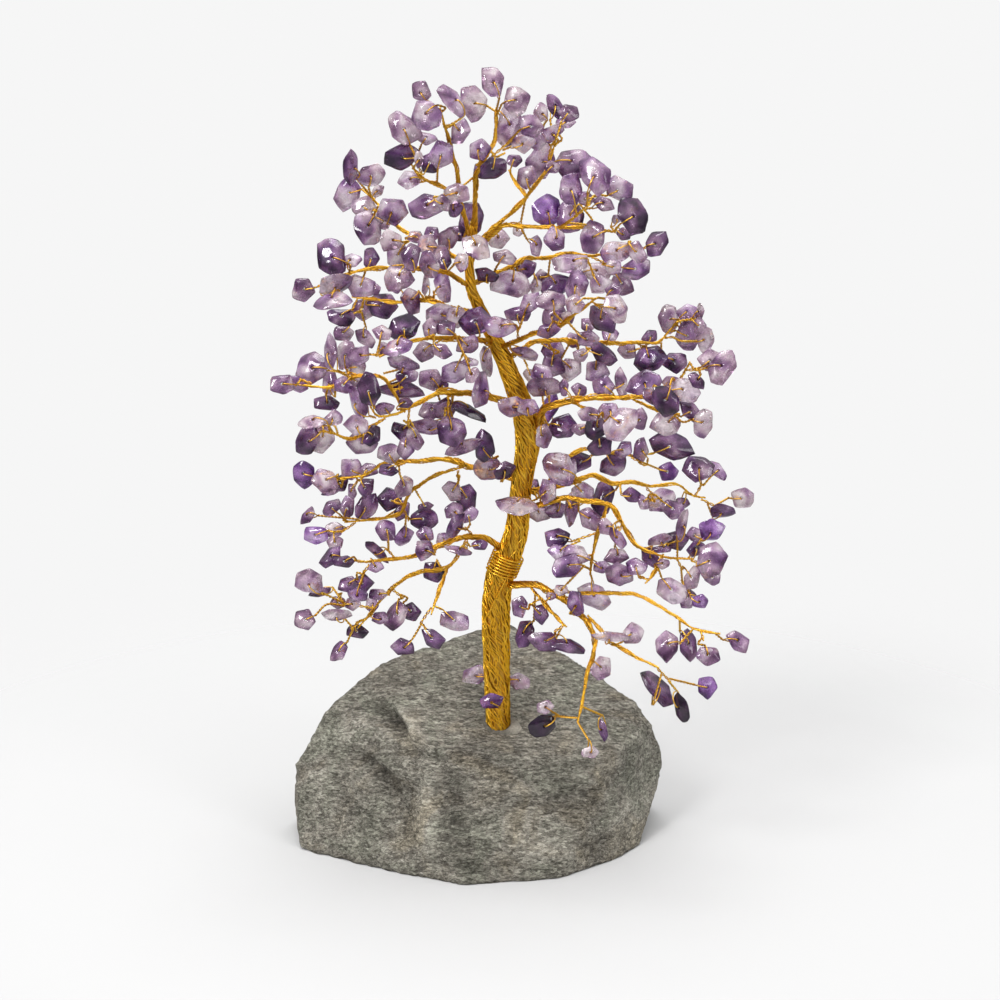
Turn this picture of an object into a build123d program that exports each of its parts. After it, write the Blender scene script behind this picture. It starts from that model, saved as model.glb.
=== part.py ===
from build123d import *
import math
import os
import random

import numpy as np

# Driving sizes, in millimetres
tree_height = 276.0
crown_half_depth = 60.0
stone_width = 132.0
foot_height = 43.0
socket_depth = 25.0
socket_clearance = 0.15
cement_width = 3.4
cement_depth = 4.0
cement_rise = 0.7
cement_smear = 4.6
cement_clearance = 0.1
trunk_flute = 0.3
trunk_station = 7.5
wrap_wire = 0.45
wrap_spacing = 1.4
chip_length = 8.2
chip_clearance = 0.3
twig_wire = 0.35
sprig_wire = 0.44
limb_root = 1.08
limb_tip = 0.44
branch_root = 0.64
branch_tip = 0.42
wire_clearance = 0.1
wire_spacing = 0.2
bore_clearance = 0.1
loop_reach = 1.1
loop_side = 0.9
loop_tail = 0.3
loop_slope_share = 0.45

# Planning of the limbs and wires, as shares of the crown's half depth, of a radius or of a chip's length
branch_depth_share = 0.12
leader_share = 0.9
limb_taper = 1.5
spray_step_share = 0.32
sprig_least_share = 0.3
twig_least_share = 0.15
shift_shares = (0.0, 0.18, -0.18, 0.37, -0.37, 0.61, -0.61)
near_shift_shares = (0.0, -0.3, -0.6, 0.3)
sprig_bow_shares = (0.0, 0.24, 0.49, 0.73)
twig_bow_shares = (0.24, 0.55, 0.85)
settle_step_share = 0.004

# Counts and turns
trunk_flutes = 9
trunk_twist = math.radians(28)
wrap_loops = 4
limb_sides = 4
wire_sides = 3

# The view in which the tree was measured: the eye looks along +Y and down on the middle of the trunk.
# Its distance and the height that it looks at are shares of the tree's height.
view_distance_share = 4.348
view_height_share = 0.4493
view_elevation = math.radians(17)
view_focal_pixels = 3514.0
view_centre_pixels = 500.0

# The trunk's middle line and its width in that view: across, down, width in pixels
trunk_pixels = [
    (498, 722, 26), (497, 590, 30), (515, 540, 25), (522, 480, 22), (528, 430, 26),
    (512, 380, 20), (495, 340, 16.5), (471, 290, 11), (470, 260, 9), (474, 224, 8),
]
wrap_pixels = (506, 562)

# Cleavage planes of the stone: bearing of the face (0 right, 90 back), its rise, and how far
# it lies from the foot of the trunk's axis, as a share of the stone's width
cleavages = [
    (-116, 61, 0.355), (-122, 28, 0.314), (-116, 19, 0.320), (-79, 32, 0.263), (-49, 15, 0.306),
    (-32, 11, 0.338), (-4, -20, 0.350), (-2, 3, 0.455), (-34, 46, 0.397), (42, 17, 0.446), (53, 16, 0.447),
    (92, 8, 0.561), (139, 16, 0.478), (-175, -3, 0.533), (126, 25, 0.491),
]
top_bearing = math.radians(-72)
top_rise = math.radians(70)
stone_height_share = 0.6

# Shape of a chip, as shares of its length or of its reach
chip_thick_share = 0.44
chip_thin_share = 0.32
chip_corner_share = 0.14
chip_turn_share = 0.16
chip_warp_share = 0.05
bore_offset_share = 0.10
chip_tilt = math.radians(26)
chip_lean = math.radians(16)
edge_tilt = math.radians(52)
edge_share = 0.56

# The limbs. Depth is the far end's, away from the viewer, as a share of the crown's half depth.
# Routes are pixels from the trunk outwards, side branches from their limb.
# A spray is the chips of one sprig: across, down, length share, width share, turn of the long side
# in degrees.
limbs = [
    dict(depth_share=-0.10, root_share=0.95, routes=[
        [(474, 222), (474, 200), (475, 174), (486, 162), (505, 153)],
        [(488, 160), (496, 139), (496, 108)],
    ], sprays=[
        [(479, 150, .9, .75, 20), (493, 169, 1.05, .75, 20)],
        [(492, 82, 1.15, .8, 95), (473, 103, 1.35, .9, -70),
         (516, 101, 1.15, .9, 75), (509, 126, 1.6, 1.0, 80)],
        [(531, 126, 1.0, .75, -60), (523, 143, .85, .8, 0), (536, 142, .75, .65, 0)],
    ]),
    dict(depth_share=-0.35, root_share=0.8, routes=[
        [(473, 233), (458, 190), (457, 172), (450, 142), (446, 130), (440, 108)],
        [(457, 186), (437, 184), (425, 180), (416, 172), (411, 164)],
    ], sprays=[
        [(421, 92, .85, .7, 100), (427, 115, 1.05, 1.0, 20)],
        [(460, 131, 1.0, .7, 70), (452, 101, 1.35, .75, -55)],
        [(403, 128, 1.25, 1.0, -40), (426, 138, .85, .5, -10), (401, 157, 1.25, 1.0, 20)],
        [(409, 181, .85, .75, 20), (430, 162, .75, .75, 45), (442, 154, 1.0, .9, -60)],
        [(458, 193, .9, .75, 0), (427, 207, 1.35, .85, 15)],
        [(471, 220, 1.4, .85, 80), (476, 247, 1.1, .9, -60)],
    ]),
    dict(depth_share=0.35, root_share=0.9, routes=[
        [(472, 262), (436, 250), (412, 237), (397, 225), (382, 210), (370, 195)],
    ], sprays=[
        [(351, 167, 1.25, .7, 90), (348, 193, 1.25, .85, 70), (371, 175, 1.15, .75, 15)],
        [(363, 207, .9, .75, 30), (367, 228, 1.25, 1.05, -60)],
        [(392, 211, 1.0, 1.0, 0)],
        [(391, 240, .9, .85, -60), (398, 256, .85, .85, 0)],
        [(448, 238, .8, .75, 0), (460, 233, .75, .65, 30), (428, 246, .85, .85, 0)],
    ]),
    dict(depth_share=-0.45, root_share=0.9, routes=[
        [(472, 282), (449, 273), (430, 270), (409, 267), (381, 268), (352, 272), (322, 283)],
    ], sprays=[
        [(304, 289, .9, .75, 30), (335, 284, 1.35, .75, 15), (333, 301, 1.5, .75, 5)],
        [(332, 258, 1.5, 1.0, 95), (351, 261, .85, .6, 0)],
        [(371, 258, .85, .65, 90), (360, 287, 1.0, .85, 0)],
        [(399, 278, 1.15, .95, 10), (411, 258, 1.0, .7, 80)],
        [(429, 265, 1.1, .7, 100), (443, 259, 1.0, .65, 100), (461, 262, .75, .5, 80)],
    ]),
    dict(depth_share=0.55, root_share=0.95, routes=[
        [(474, 315), (447, 307), (424, 299), (395, 303), (375, 299), (352, 297)],
    ], sprays=[
        [(340, 317, 1.1, .65, -10), (362, 310, .85, .85, 0), (382, 306, 1.1, 1.0, 0)],
        [(342, 333, .9, .65, 0), (365, 338, .85, .6, -40)],
        [(411, 301, 1.0, .75, -70), (397, 285, .7, .5, 80)],
        [(444, 285, 1.4, .75, 100), (426, 285, .85, .4, 90)],
        [(440, 315, 1.1, .85, 0), (457, 317, .8, .75, 0)],
    ]),
    dict(depth_share=-0.75, root_share=0.95, routes=[
        [(482, 342), (456, 338), (436, 338), (412, 340), (390, 352), (377, 358)],
    ], sprays=[
        [(359, 355, .75, .75, 0)],
        [(404, 328, 1.25, .85, 20), (398, 347, 1.15, .75, 15)],
        [(430, 329, .75, .65, 90), (424, 352, .85, .75, 20), (442, 351, .7, .55, -45)],
        [(446, 328, .75, .6, 20), (468, 345, .85, .7, 20)],
        [(455, 372, 1.15, .7, 15)],
        [(475, 322, 1.15, 1.0, 20), (486, 362, 1.15, .6, 95)],
    ]),
    dict(depth_share=-0.30, root_share=1.25, routes=[
        [(506, 400), (472, 393), (440, 392), (418, 402), (398, 414), (376, 418), (370, 405)],
        [(405, 410), (385, 376), (355, 376), (330, 388), (303, 385)],
        [(376, 418), (352, 440), (330, 432)],
    ], sprays=[
        [(369, 390, 1.25, .75, 95), (358, 402, 1.4, .75, -65)],
        [(330, 383, 1.0, .65, 80), (327, 404, 1.0, .6, 0)],
        [(281, 384, .9, .8, 0), (296, 384, .85, .6, -20)],
        [(312, 369, 1.25, 1.05, 60), (331, 352, 1.35, .65, 95),
         (346, 354, 1.1, .75, 90), (358, 367, 1.0, .65, 90)],
        [(333, 418, .75, .6, 40), (312, 422, 1.1, .6, 15),
         (307, 441, 1.15, .85, 80), (322, 438, 1.15, .85, 60)],
        [(357, 426, .9, .75, 0), (362, 443, 1.15, .9, 0), (373, 436, .85, .6, 60)],
        [(385, 408, .85, .5, 0)],
        [(404, 364, 1.25, .65, -10), (407, 376, .85, .6, 0), (401, 390, 1.6, .75, -5)],
        [(430, 379, 1.0, .85, -20)],
        [(402, 431, .9, .75, -40), (406, 448, .85, .65, 90), (415, 438, .9, .65, -60)],
        [(431, 410, .85, .75, 0), (445, 410, .85, .85, 0), (468, 411, 1.25, .6, -25)],
        [(428, 427, 1.25, .7, -5), (451, 432, 1.1, 1.05, 0), (463, 447, 1.4, .65, 20)],
        [(481, 390, 1.35, .75, 80)],
    ]),
    dict(depth_share=0.45, root_share=1.1, routes=[
        [(517, 480), (475, 468), (457, 462), (436, 458), (412, 462), (388, 460), (365, 476), (340, 478)],
        [(457, 462), (430, 477), (410, 492), (400, 515), (370, 520), (345, 522)],
    ], sprays=[
        [(389, 454, 1.0, .75, 0), (388, 470, .85, .5, 0), (404, 487, .9, .65, 60)],
        [(351, 470, .9, .85, 0), (368, 470, .75, .6, 0), (366, 488, .85, .6, 80)],
        [(303, 473, 1.1, .85, 100), (325, 481, 1.0, .9, 0),
         (340, 484, .75, .6, 40), (330, 491, .85, .4, 15)],
        [(332, 508, .9, .65, 40), (347, 508, .85, .65, 80),
         (308, 516, .9, .5, 45), (366, 507, 1.1, .85, 60)],
        [(315, 535, 1.0, .75, 0), (334, 530, .75, .65, 0)],
        [(390, 500, .95, .85, 0), (402, 510, .85, .6, 60)],
        [(424, 519, 1.1, .85, 0), (404, 537, .85, .65, 60)],
        [(452, 491, .9, .65, -60), (467, 499, 1.15, .75, 100)],
        [(484, 446, 1.15, .7, 95), (488, 469, 1.15, .85, 0), (505, 470, .85, .6, 30)],
    ]),
    dict(depth_share=-0.30, root_share=1.1, routes=[
        [(500, 545), (485, 537), (462, 537), (440, 545), (425, 554), (400, 558), (372, 562), (358, 562)],
        [(462, 537), (455, 562), (441, 570), (418, 572), (404, 578), (388, 592), (368, 616), (358, 628)],
        [(441, 570), (436, 600), (430, 618)],
    ], sprays=[
        [(331, 557, 1.0, .7, 35), (344, 562, .8, .45, 0)],
        [(309, 582, 1.1, 1.0, 0), (320, 592, .85, .45, 10), (305, 620, .9, .7, 90)],
        [(348, 585, .85, .65, 0), (362, 584, .85, .65, 20), (358, 595, .85, .6, 0)],
        [(376, 551, 1.15, .5, -45), (386, 529, .9, .75, -30)],
        [(424, 550, .85, .75, 90)],
        [(454, 511, .75, .65, 0), (469, 515, .75, .5, 30), (455, 527, 1.1, .6, 60)],
        [(480, 545, .7, .4, 0), (459, 551, 1.1, .4, -10)],
        [(378, 594, .75, .45, 0)],
        [(357, 632, .9, .55, 0), (339, 652, .9, .55, 55), (336, 615, 1.1, .55, 0)],
        [(397, 615, 1.1, .75, 60), (411, 611, .85, .6, -60)],
        [(404, 647, .9, .65, 0), (433, 638, .9, .65, -30)],
        [(433, 571, .9, .85, 0)],
        [(455, 621, 1.15, .75, -15)],
    ]),
    dict(depth_share=0.30, root_share=0.8, routes=[
        [(473, 244), (497, 225), (512, 212), (525, 200), (530, 192), (545, 172), (552, 155), (556, 138)],
        [(530, 192), (516, 184), (509, 170)],
    ], sprays=[
        [(541, 113, .85, .6, 90), (554, 105, 1.0, .65, -60), (568, 113, .75, .65, 0)],
        [(551, 134, 1.0, .6, 30), (566, 123, .85, .5, 15)],
        [(572, 163, 1.4, 1.1, 30), (541, 162, 1.4, 1.0, 60)],
        [(527, 178, .85, .75, 60)],
        [(498, 239, .75, .75, 0)],
    ]),
    dict(depth_share=-0.45, root_share=0.85, routes=[
        [(471, 250), (502, 225), (528, 226), (562, 228), (580, 212)],
        [(562, 228), (592, 228), (615, 232)],
    ], sprays=[
        [(546, 211, 1.15, 1.0, 20), (555, 240, .9, .85, -40)],
        [(569, 217, 1.25, .9, 80), (570, 190, 1.15, .8, 80)],
        [(595, 177, 1.4, .95, -60), (619, 190, 1.05, .85, -30), (604, 204, .75, .55, -20)],
        [(593, 238, 1.25, .9, 80), (632, 217, 1.35, 1.1, 110)],
        [(536, 246, .85, .5, 90)],
    ]),
    dict(depth_share=0.50, root_share=0.95, routes=[
        [(472, 284), (503, 271), (520, 260), (550, 257), (570, 253), (592, 256), (606, 253)],
    ], sprays=[
        [(615, 252, 1.15, .85, 20), (637, 252, .9, .65, -50), (656, 245, 1.1, .75, 60)],
        [(636, 269, 1.15, .7, 25), (622, 284, .9, .8, 0)],
        [(571, 263, 1.35, .8, 0), (598, 272, 1.15, .85, 0), (600, 285, .85, .75, 0)],
        [(504, 257, .85, .65, 0), (487, 275, .9, .55, -10)],
        [(527, 269, .85, .65, 60), (512, 284, 1.55, .95, -5)],
        [(556, 285, 1.15, .75, 10)],
    ]),
    dict(depth_share=-0.60, root_share=0.9, routes=[
        [(498, 347), (530, 335), (556, 328), (570, 318), (588, 304), (600, 296)],
    ], sprays=[
        [(615, 309, 1.1, .9, -50), (602, 319, 1.25, .85, -45)],
        [(575, 305, .75, .65, 0), (577, 285, 1.1, .85, 80)],
        [(587, 339, .85, .6, 0)],
        [(552, 301, 1.15, .7, 0), (553, 316, 1.0, .8, 30), (548, 331, .9, .55, 20)],
        [(518, 314, 1.0, .6, 0), (530, 303, .85, .6, 40), (500, 327, 1.25, .75, -10)],
    ]),
    dict(depth_share=0.35, root_share=0.95, routes=[
        [(502, 361), (535, 341), (560, 340), (590, 343), (641, 343), (660, 343), (668, 332), (678, 322)],
    ], sprays=[
        [(669, 319, 1.1, .75, 80), (687, 312, .9, .65, 0), (700, 311, .75, .4, 80)],
        [(688, 336, 1.15, .85, 100), (705, 340, 1.1, .65, 85)],
        [(627, 351, .75, .65, 0), (650, 360, 1.25, 1.0, 40), (675, 362, 1.0, .9, 0)],
        [(603, 354, 1.1, .65, -40), (596, 371, .9, .85, 0)],
        [(553, 351, 1.0, .75, 0), (552, 366, 1.0, .75, -40), (570, 368, 1.0, .85, 60)],
        [(524, 353, 1.0, .55, -15)],
    ]),
    dict(depth_share=-0.50, root_share=1.3, routes=[
        [(527, 425), (542, 408), (559, 404), (580, 399), (605, 397), (641, 398),
         (668, 392), (681, 378), (690, 362)],
        [(641, 398), (659, 412), (680, 414)],
        [(580, 399), (592, 412), (606, 424)],
    ], sprays=[
        [(710, 361, 1.0, .75, 0), (722, 367, 1.35, .8, 60), (697, 381, .75, .5, -40)],
        [(684, 390, 1.1, .9, -20), (665, 400, 1.25, .9, -50)],
        [(645, 384, 1.35, .9, 10), (652, 395, .75, .7, 0)],
        [(691, 412, 1.0, .6, -50), (704, 422, 1.15, .65, 75), (667, 423, 1.1, .9, 0)],
        [(640, 420, .85, .5, 85), (621, 424, 1.35, .9, 50), (609, 411, .75, .65, 0)],
        [(604, 386, .85, .75, -30), (621, 384, 1.1, .5, 100)],
        [(545, 388, 1.4, .75, 0)],
        [(542, 374, .85, .65, -30)],
        [(548, 410, 1.5, .75, 65), (562, 427, 1.1, .9, 20), (543, 437, 1.0, .65, 100)],
        [(512, 407, 1.1, .75, 0), (528, 408, .75, .65, 0)],
        [(589, 414, .75, .5, 0), (597, 428, .9, .85, 0), (600, 447, 1.0, .75, 0)],
    ]),
    dict(depth_share=0.30, root_share=1.1, routes=[
        [(524, 492), (553, 487), (575, 482), (594, 473), (612, 484), (632, 482), (650, 487), (676, 482),
         (694, 497), (712, 498)],
        [(553, 487), (562, 462), (580, 449), (610, 452), (640, 458)],
    ], sprays=[
        [(742, 498, .9, .85, 0), (722, 511, 1.1, .6, 5)],
        [(700, 469, 1.15, 1.0, 0), (718, 471, .9, .6, -50)],
        [(671, 446, 1.65, 1.0, -20), (641, 449, .85, .6, 90), (668, 472, .85, .75, 0)],
        [(662, 500, 1.15, 1.0, 0), (673, 509, .9, .75, -40), (643, 502, .7, .4, -60)],
        [(632, 495, .75, .65, 0), (603, 498, 1.5, .85, 75)],
        [(614, 464, 1.1, .9, 30), (624, 450, .75, .6, 50), (580, 462, 1.0, .9, 0)],
        [(560, 470, 1.4, 1.05, -50), (571, 472, .9, .5, 70), (583, 493, .9, .75, 0)],
        [(547, 491, .9, .65, 90), (538, 513, .85, .65, 0)],
        [(516, 505, 1.6, .8, -3)],
    ]),
    dict(depth_share=-0.35, root_share=1.05, routes=[
        [(521, 505), (565, 497), (612, 505), (632, 541), (640, 548), (667, 558), (694, 559)],
        [(612, 505), (598, 532), (594, 545), (590, 575)],
        [(667, 558), (651, 578), (640, 588)],
    ], sprays=[
        [(711, 560, 1.35, 1.05, 70), (713, 578, .7, .5, 0)],
        [(711, 531, 1.0, .9, 0)],
        [(677, 540, 1.0, .75, 0), (660, 540, 1.0, .55, 10),
         (663, 549, .75, .35, 0), (682, 524, 1.1, .55, 80)],
        [(692, 578, .9, .6, 70), (687, 598, .9, .6, 90)],
        [(651, 558, .9, .6, -45)],
        [(672, 591, 1.15, .9, -40)],
        [(606, 527, .75, .55, -40), (618, 538, .85, .5, -55), (617, 556, 1.0, .65, 0)],
        [(620, 574, 1.15, .85, -10), (636, 567, .85, .65, 0)],
        [(556, 538, 1.0, .75, 0), (560, 552, .85, .65, 0)],
        [(576, 555, 1.0, .75, 0), (567, 567, 1.15, .85, 30)],
        [(556, 511, .9, .7, 0), (571, 508, 1.25, .65, 90), (591, 519, .9, .75, -40)],
        [(595, 596, 1.25, 1.0, -30)],
    ]),
    dict(depth_share=-0.75, root_share=1.3, routes=[
        [(503, 580), (537, 584), (560, 597), (576, 608), (590, 625), (596, 640),
         (594, 650), (589, 667), (583, 697),
         (577, 725), (577, 748)],
        [(590, 625), (610, 642), (646, 662), (668, 672)],
        [(560, 597), (584, 594), (609, 592), (634, 594), (659, 605), (691, 628), (720, 634)],
        [(537, 584), (552, 612), (575, 636), (590, 652)],
    ], sprays=[
        [(543, 725, 1.1, .85, 30)],
        [(603, 730, .9, .4, -75)],
        [(632, 634, .85, .7, 60)],
        [(657, 689, 1.6, .85, -50), (681, 708, 1.15, .6, -70), (707, 687, .85, .75, 90)],
        [(688, 645, 1.15, .7, 100)],
        [(544, 641, 1.15, .75, -15), (567, 646, 1.4, .6, -10)],
        [(610, 636, 1.65, .4, 0)],
        [(602, 668, 1.0, .75, 70)],
        [(667, 645, 1.1, .85, 80), (708, 656, .9, .65, -10), (738, 641, .9, .75, -40)],
        [(520, 606, .85, .55, 90), (541, 614, .7, .6, 90), (524, 634, 1.1, .65, 75)],
        [(576, 605, 1.0, .6, 100)],
    ]),
]

# Chips at the foot of the trunk: across, down, length share, width share, turn, depth share
foot_chips = [
    (475, 675, 1.0, .6, 20, 0.0),
    (491, 702, .8, .55, 0, -0.18),
    (519, 681, .85, .55, 0, 0.0),
]
settle_turns = 240

chance = random.Random(7)
view_distance = tree_height * view_distance_share
view_height = tree_height * view_height_share
pixel_size = view_distance / view_focal_pixels
view_right = np.array([1.0, 0.0, 0.0])
view_up = np.array([0.0, math.sin(view_elevation), math.cos(view_elevation)])
view_back = np.array([0.0, -math.cos(view_elevation), math.sin(view_elevation)])
eye = np.array([0.0, 0.0, view_height]) + view_back * view_distance
upright = np.array([0.0, 0.0, 1.0])


def place(across, down, depth):
    """The point at this depth, y, that shows at this pixel"""
    sideways = view_right * (across - view_centre_pixels) / view_focal_pixels
    upwards = view_up * (view_centre_pixels - down) / view_focal_pixels
    run = sideways + upwards - view_back
    return eye + run * (depth - eye[1]) / run[1]


def shown(point):
    """The pixel where a point shows"""
    ray = point - eye
    away = -(ray @ view_back)
    across = view_centre_pixels + view_focal_pixels * (ray @ view_right) / away
    down = view_centre_pixels - view_focal_pixels * (ray @ view_up) / away
    return np.array([across, down])


def cross(one, two):
    return np.array([
        one[1] * two[2] - one[2] * two[1],
        one[2] * two[0] - one[0] * two[2],
        one[0] * two[1] - one[1] * two[0],
    ])


def unit(vector):
    return vector / math.sqrt(vector @ vector)


def turned(vector, axis, angle):
    """A vector turned about a unit axis"""
    along = axis * (axis @ vector)
    return along + (vector - along) * math.cos(angle) + cross(axis, vector) * math.sin(angle)


def carried(vector, before, after):
    """A vector across one run of a route, carried round the bend to the next run"""
    axis = cross(before, after)
    bend = np.linalg.norm(axis)
    if bend < 1e-9:
        return vector
    return turned(vector, axis / bend, math.atan2(bend, before @ after))


def bearing(angle, rise):
    return np.array([math.cos(rise) * math.cos(angle), math.cos(rise) * math.sin(angle), math.sin(rise)])


class Route:
    """A bent rod: its points, its radius at each, and the directions of its section's corners"""

    def __init__(self, points, radii, corners, twist=0.0):
        self.points = [np.array(point) for point in points]
        self.radii = list(radii)
        self.corners = corners
        self.runs = [unit(b - a) for a, b in zip(self.points, self.points[1:])]
        first = cross(self.runs[0], view_back)
        self.across = [unit(first)]
        for before, after in zip(self.runs, self.runs[1:]):
            over = carried(self.across[-1], before, after)
            self.across.append(turned(over, after, twist))
        self.sides = [cross(run, over) for run, over in zip(self.runs, self.across)]
        steps = [np.linalg.norm(b - a) for a, b in zip(self.points, self.points[1:])]
        self.ways = np.concatenate([[0.0], np.cumsum(steps)])
        self.length = self.ways[-1]

    def at(self, way):
        """Point, run number and radius at a distance along the route"""
        way = min(max(way, 0.0), self.length)
        number = min(int(np.searchsorted(self.ways, way, side="right")) - 1, len(self.runs) - 1)
        share = (way - self.ways[number]) / (self.ways[number + 1] - self.ways[number])
        point = self.points[number] + (self.points[number + 1] - self.points[number]) * share
        radius = self.radii[number] + (self.radii[number + 1] - self.radii[number]) * share
        return point, number, radius

    def reach(self, number, radius, out):
        """How far the section reaches in a direction across the run"""
        angle = math.atan2(out @ self.sides[number], out @ self.across[number])
        return radius * max(share * math.cos(angle - corner) for corner, share in self.corners)

    def nearest(self, point):
        """Distance along the route of its nearest point"""
        best = None
        for number, run in enumerate(self.runs):
            step = self.ways[number + 1] - self.ways[number]
            along = min(max((point - self.points[number]) @ run, 0.0), step)
            gap = np.linalg.norm(self.points[number] + run * along - point)
            if best is None or gap < best[0]:
                best = (gap, self.ways[number] + along)
        return best[1]

    def leave(self, way, target, radius):
        """Where a thinner rod starts that leaves this one's side for the target"""
        point, number, own = self.at(way)
        run = self.runs[number]
        toward = target - point
        out = toward - run * (toward @ run)
        out = unit(out) if np.linalg.norm(out) > 1e-6 else self.across[number]
        start = point + out * own
        for turn in range(2):
            slope = unit(target - start) @ out
            thickness = radius * math.sqrt(max(1 - slope * slope, 0.0))
            start = point + out * (self.reach(number, own, out) + wire_clearance + thickness)
        return start


def plain_corners(sides):
    return [(2 * math.pi * number / sides, 1.0) for number in range(sides)]


def eased(points, parts):
    """Points on a smooth curve through the given ones"""
    points = [np.array(point, dtype=float) for point in points]
    ends = [points[0] * 2 - points[1]] + points + [points[-1] * 2 - points[-2]]
    curve = []
    for a, b, c, d in zip(ends, ends[1:], ends[2:], ends[3:]):
        for part in range(parts):
            t = part / parts
            first = 2 * b + (c - a) * t
            second = (2 * a - 5 * b + 4 * c - d) * t * t
            third = (3 * b - a - 3 * c + d) * t ** 3
            curve.append((first + second + third) / 2)
    curve.append(points[-1])
    return curve


# The trunk: straight in its socket, then along its measured line
trunk_line = [place(across, down, 0.0) for across, down, width in trunk_pixels]
trunk_widths = [width * pixel_size / 2 for across, down, width in trunk_pixels]
foot_across = trunk_line[0][0]
foot_radius = trunk_widths[0]
above = [number for number, point in enumerate(trunk_line) if point[2] > foot_height + 2 * foot_radius]
trunk_rows = [
    [foot_across, 0.0, foot_height - socket_depth, foot_radius],
    [foot_across, 0.0, foot_height, foot_radius],
    [foot_across, 0.0, foot_height + foot_radius, foot_radius],
]
trunk_rows += [[*trunk_line[number], trunk_widths[number]] for number in above]
trunk_curve = np.array(eased(trunk_rows, 8))
trunk_steps = np.linalg.norm(np.diff(trunk_curve[:, :3], axis=0), axis=1)
trunk_ways = np.concatenate([[0.0], np.cumsum(trunk_steps)])
stations = np.linspace(0.0, trunk_ways[-1], int(round(trunk_ways[-1] / trunk_station)) + 1)
trunk_stations = np.array([np.interp(stations, trunk_ways, column) for column in trunk_curve.T]).T
flute_corners = []
for number in range(2 * trunk_flutes):
    inward = 1.0 if number % 2 == 0 else 1.0 - trunk_flute / foot_radius
    flute_corners.append((math.pi * number / trunk_flutes, inward))
trunk_route = Route(trunk_stations[:, :3], trunk_stations[:, 3], flute_corners, -trunk_twist)

# The binding wire's middle: it lies on the trunk just above the lowest limbs
wrap_way = trunk_route.nearest(place(*wrap_pixels, 0.0))
wrap_length = wrap_loops * wrap_spacing
wrap_foot = trunk_route.at(wrap_way - wrap_length / 2)[0]
wrap_top = trunk_route.at(wrap_way + wrap_length / 2)[0]
wrap_run = unit(wrap_top - wrap_foot)
wrap_radius = max(trunk_route.at(wrap_way + wrap_length * share)[2] for share in (-0.5, 0.0, 0.5))
wrap_radius += wire_clearance + wrap_wire

# The stone's faces: outward direction and distance from the foot of the trunk's axis
stone_faces = []
for turn, rise, share in cleavages:
    stone_faces.append((bearing(math.radians(turn), math.radians(rise)), share * stone_width))
top_face = bearing(top_bearing, top_rise)
stone_faces.append((top_face, foot_height * top_face[2]))


# The limbs' routes in the round
def limb_routes(limb):
    tip_depth = limb["depth_share"] * crown_half_depth
    routes = []
    for order, pixels in enumerate(limb["routes"]):
        flat = np.array(pixels, dtype=float)
        steps = np.concatenate([[0.0], np.cumsum(np.linalg.norm(np.diff(flat, axis=0), axis=1))])
        shares = (steps / steps[-1]) ** 0.8
        if order == 0:
            parent = trunk_route
            way = parent.nearest(place(*pixels[0], 0.0))
            end_depth = tip_depth
            root = limb_root * limb["root_share"]
            tip = limb_tip
        else:
            gaps = []
            for candidate in routes:
                for step in np.linspace(0.0, candidate.length, 60):
                    spot = candidate.at(step)[0]
                    gaps.append((np.linalg.norm(shown(spot) - flat[0]), len(gaps), candidate, step))
            gap, number, parent, way = min(gaps, key=lambda row: row[:2])
            fork_room = limb_root + branch_root
            bends = [bend for bend in parent.ways[1:-1] if abs(way - bend) < fork_room]
            if bends:
                way = bends[0] - fork_room
            side = 1 if order % 2 else -1
            end_depth = parent.points[-1][1] + side * branch_depth_share * crown_half_depth
            root = branch_root
            tip = branch_tip
        start_depth = parent.at(way)[0][1]
        depths = start_depth + (end_depth - start_depth) * shares
        points = [place(*pixel, depth) for pixel, depth in zip(pixels, depths)]
        if order == 0 and limb is limbs[0]:
            top, number, radius = parent.at(parent.length)
            root = radius * leader_share
            points[0] = top + parent.runs[-1] * wire_clearance
            points[1] = points[0] + parent.runs[-1] * 2 * root
        else:
            points[0] = parent.leave(way, points[1], root)
        radii = [tip + (root - tip) * (1 - step / steps[-1]) ** limb_taper for step in steps]
        route = Route(points, radii, plain_corners(limb_sides))
        route.order = order
        routes.append(route)
    return routes


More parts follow.
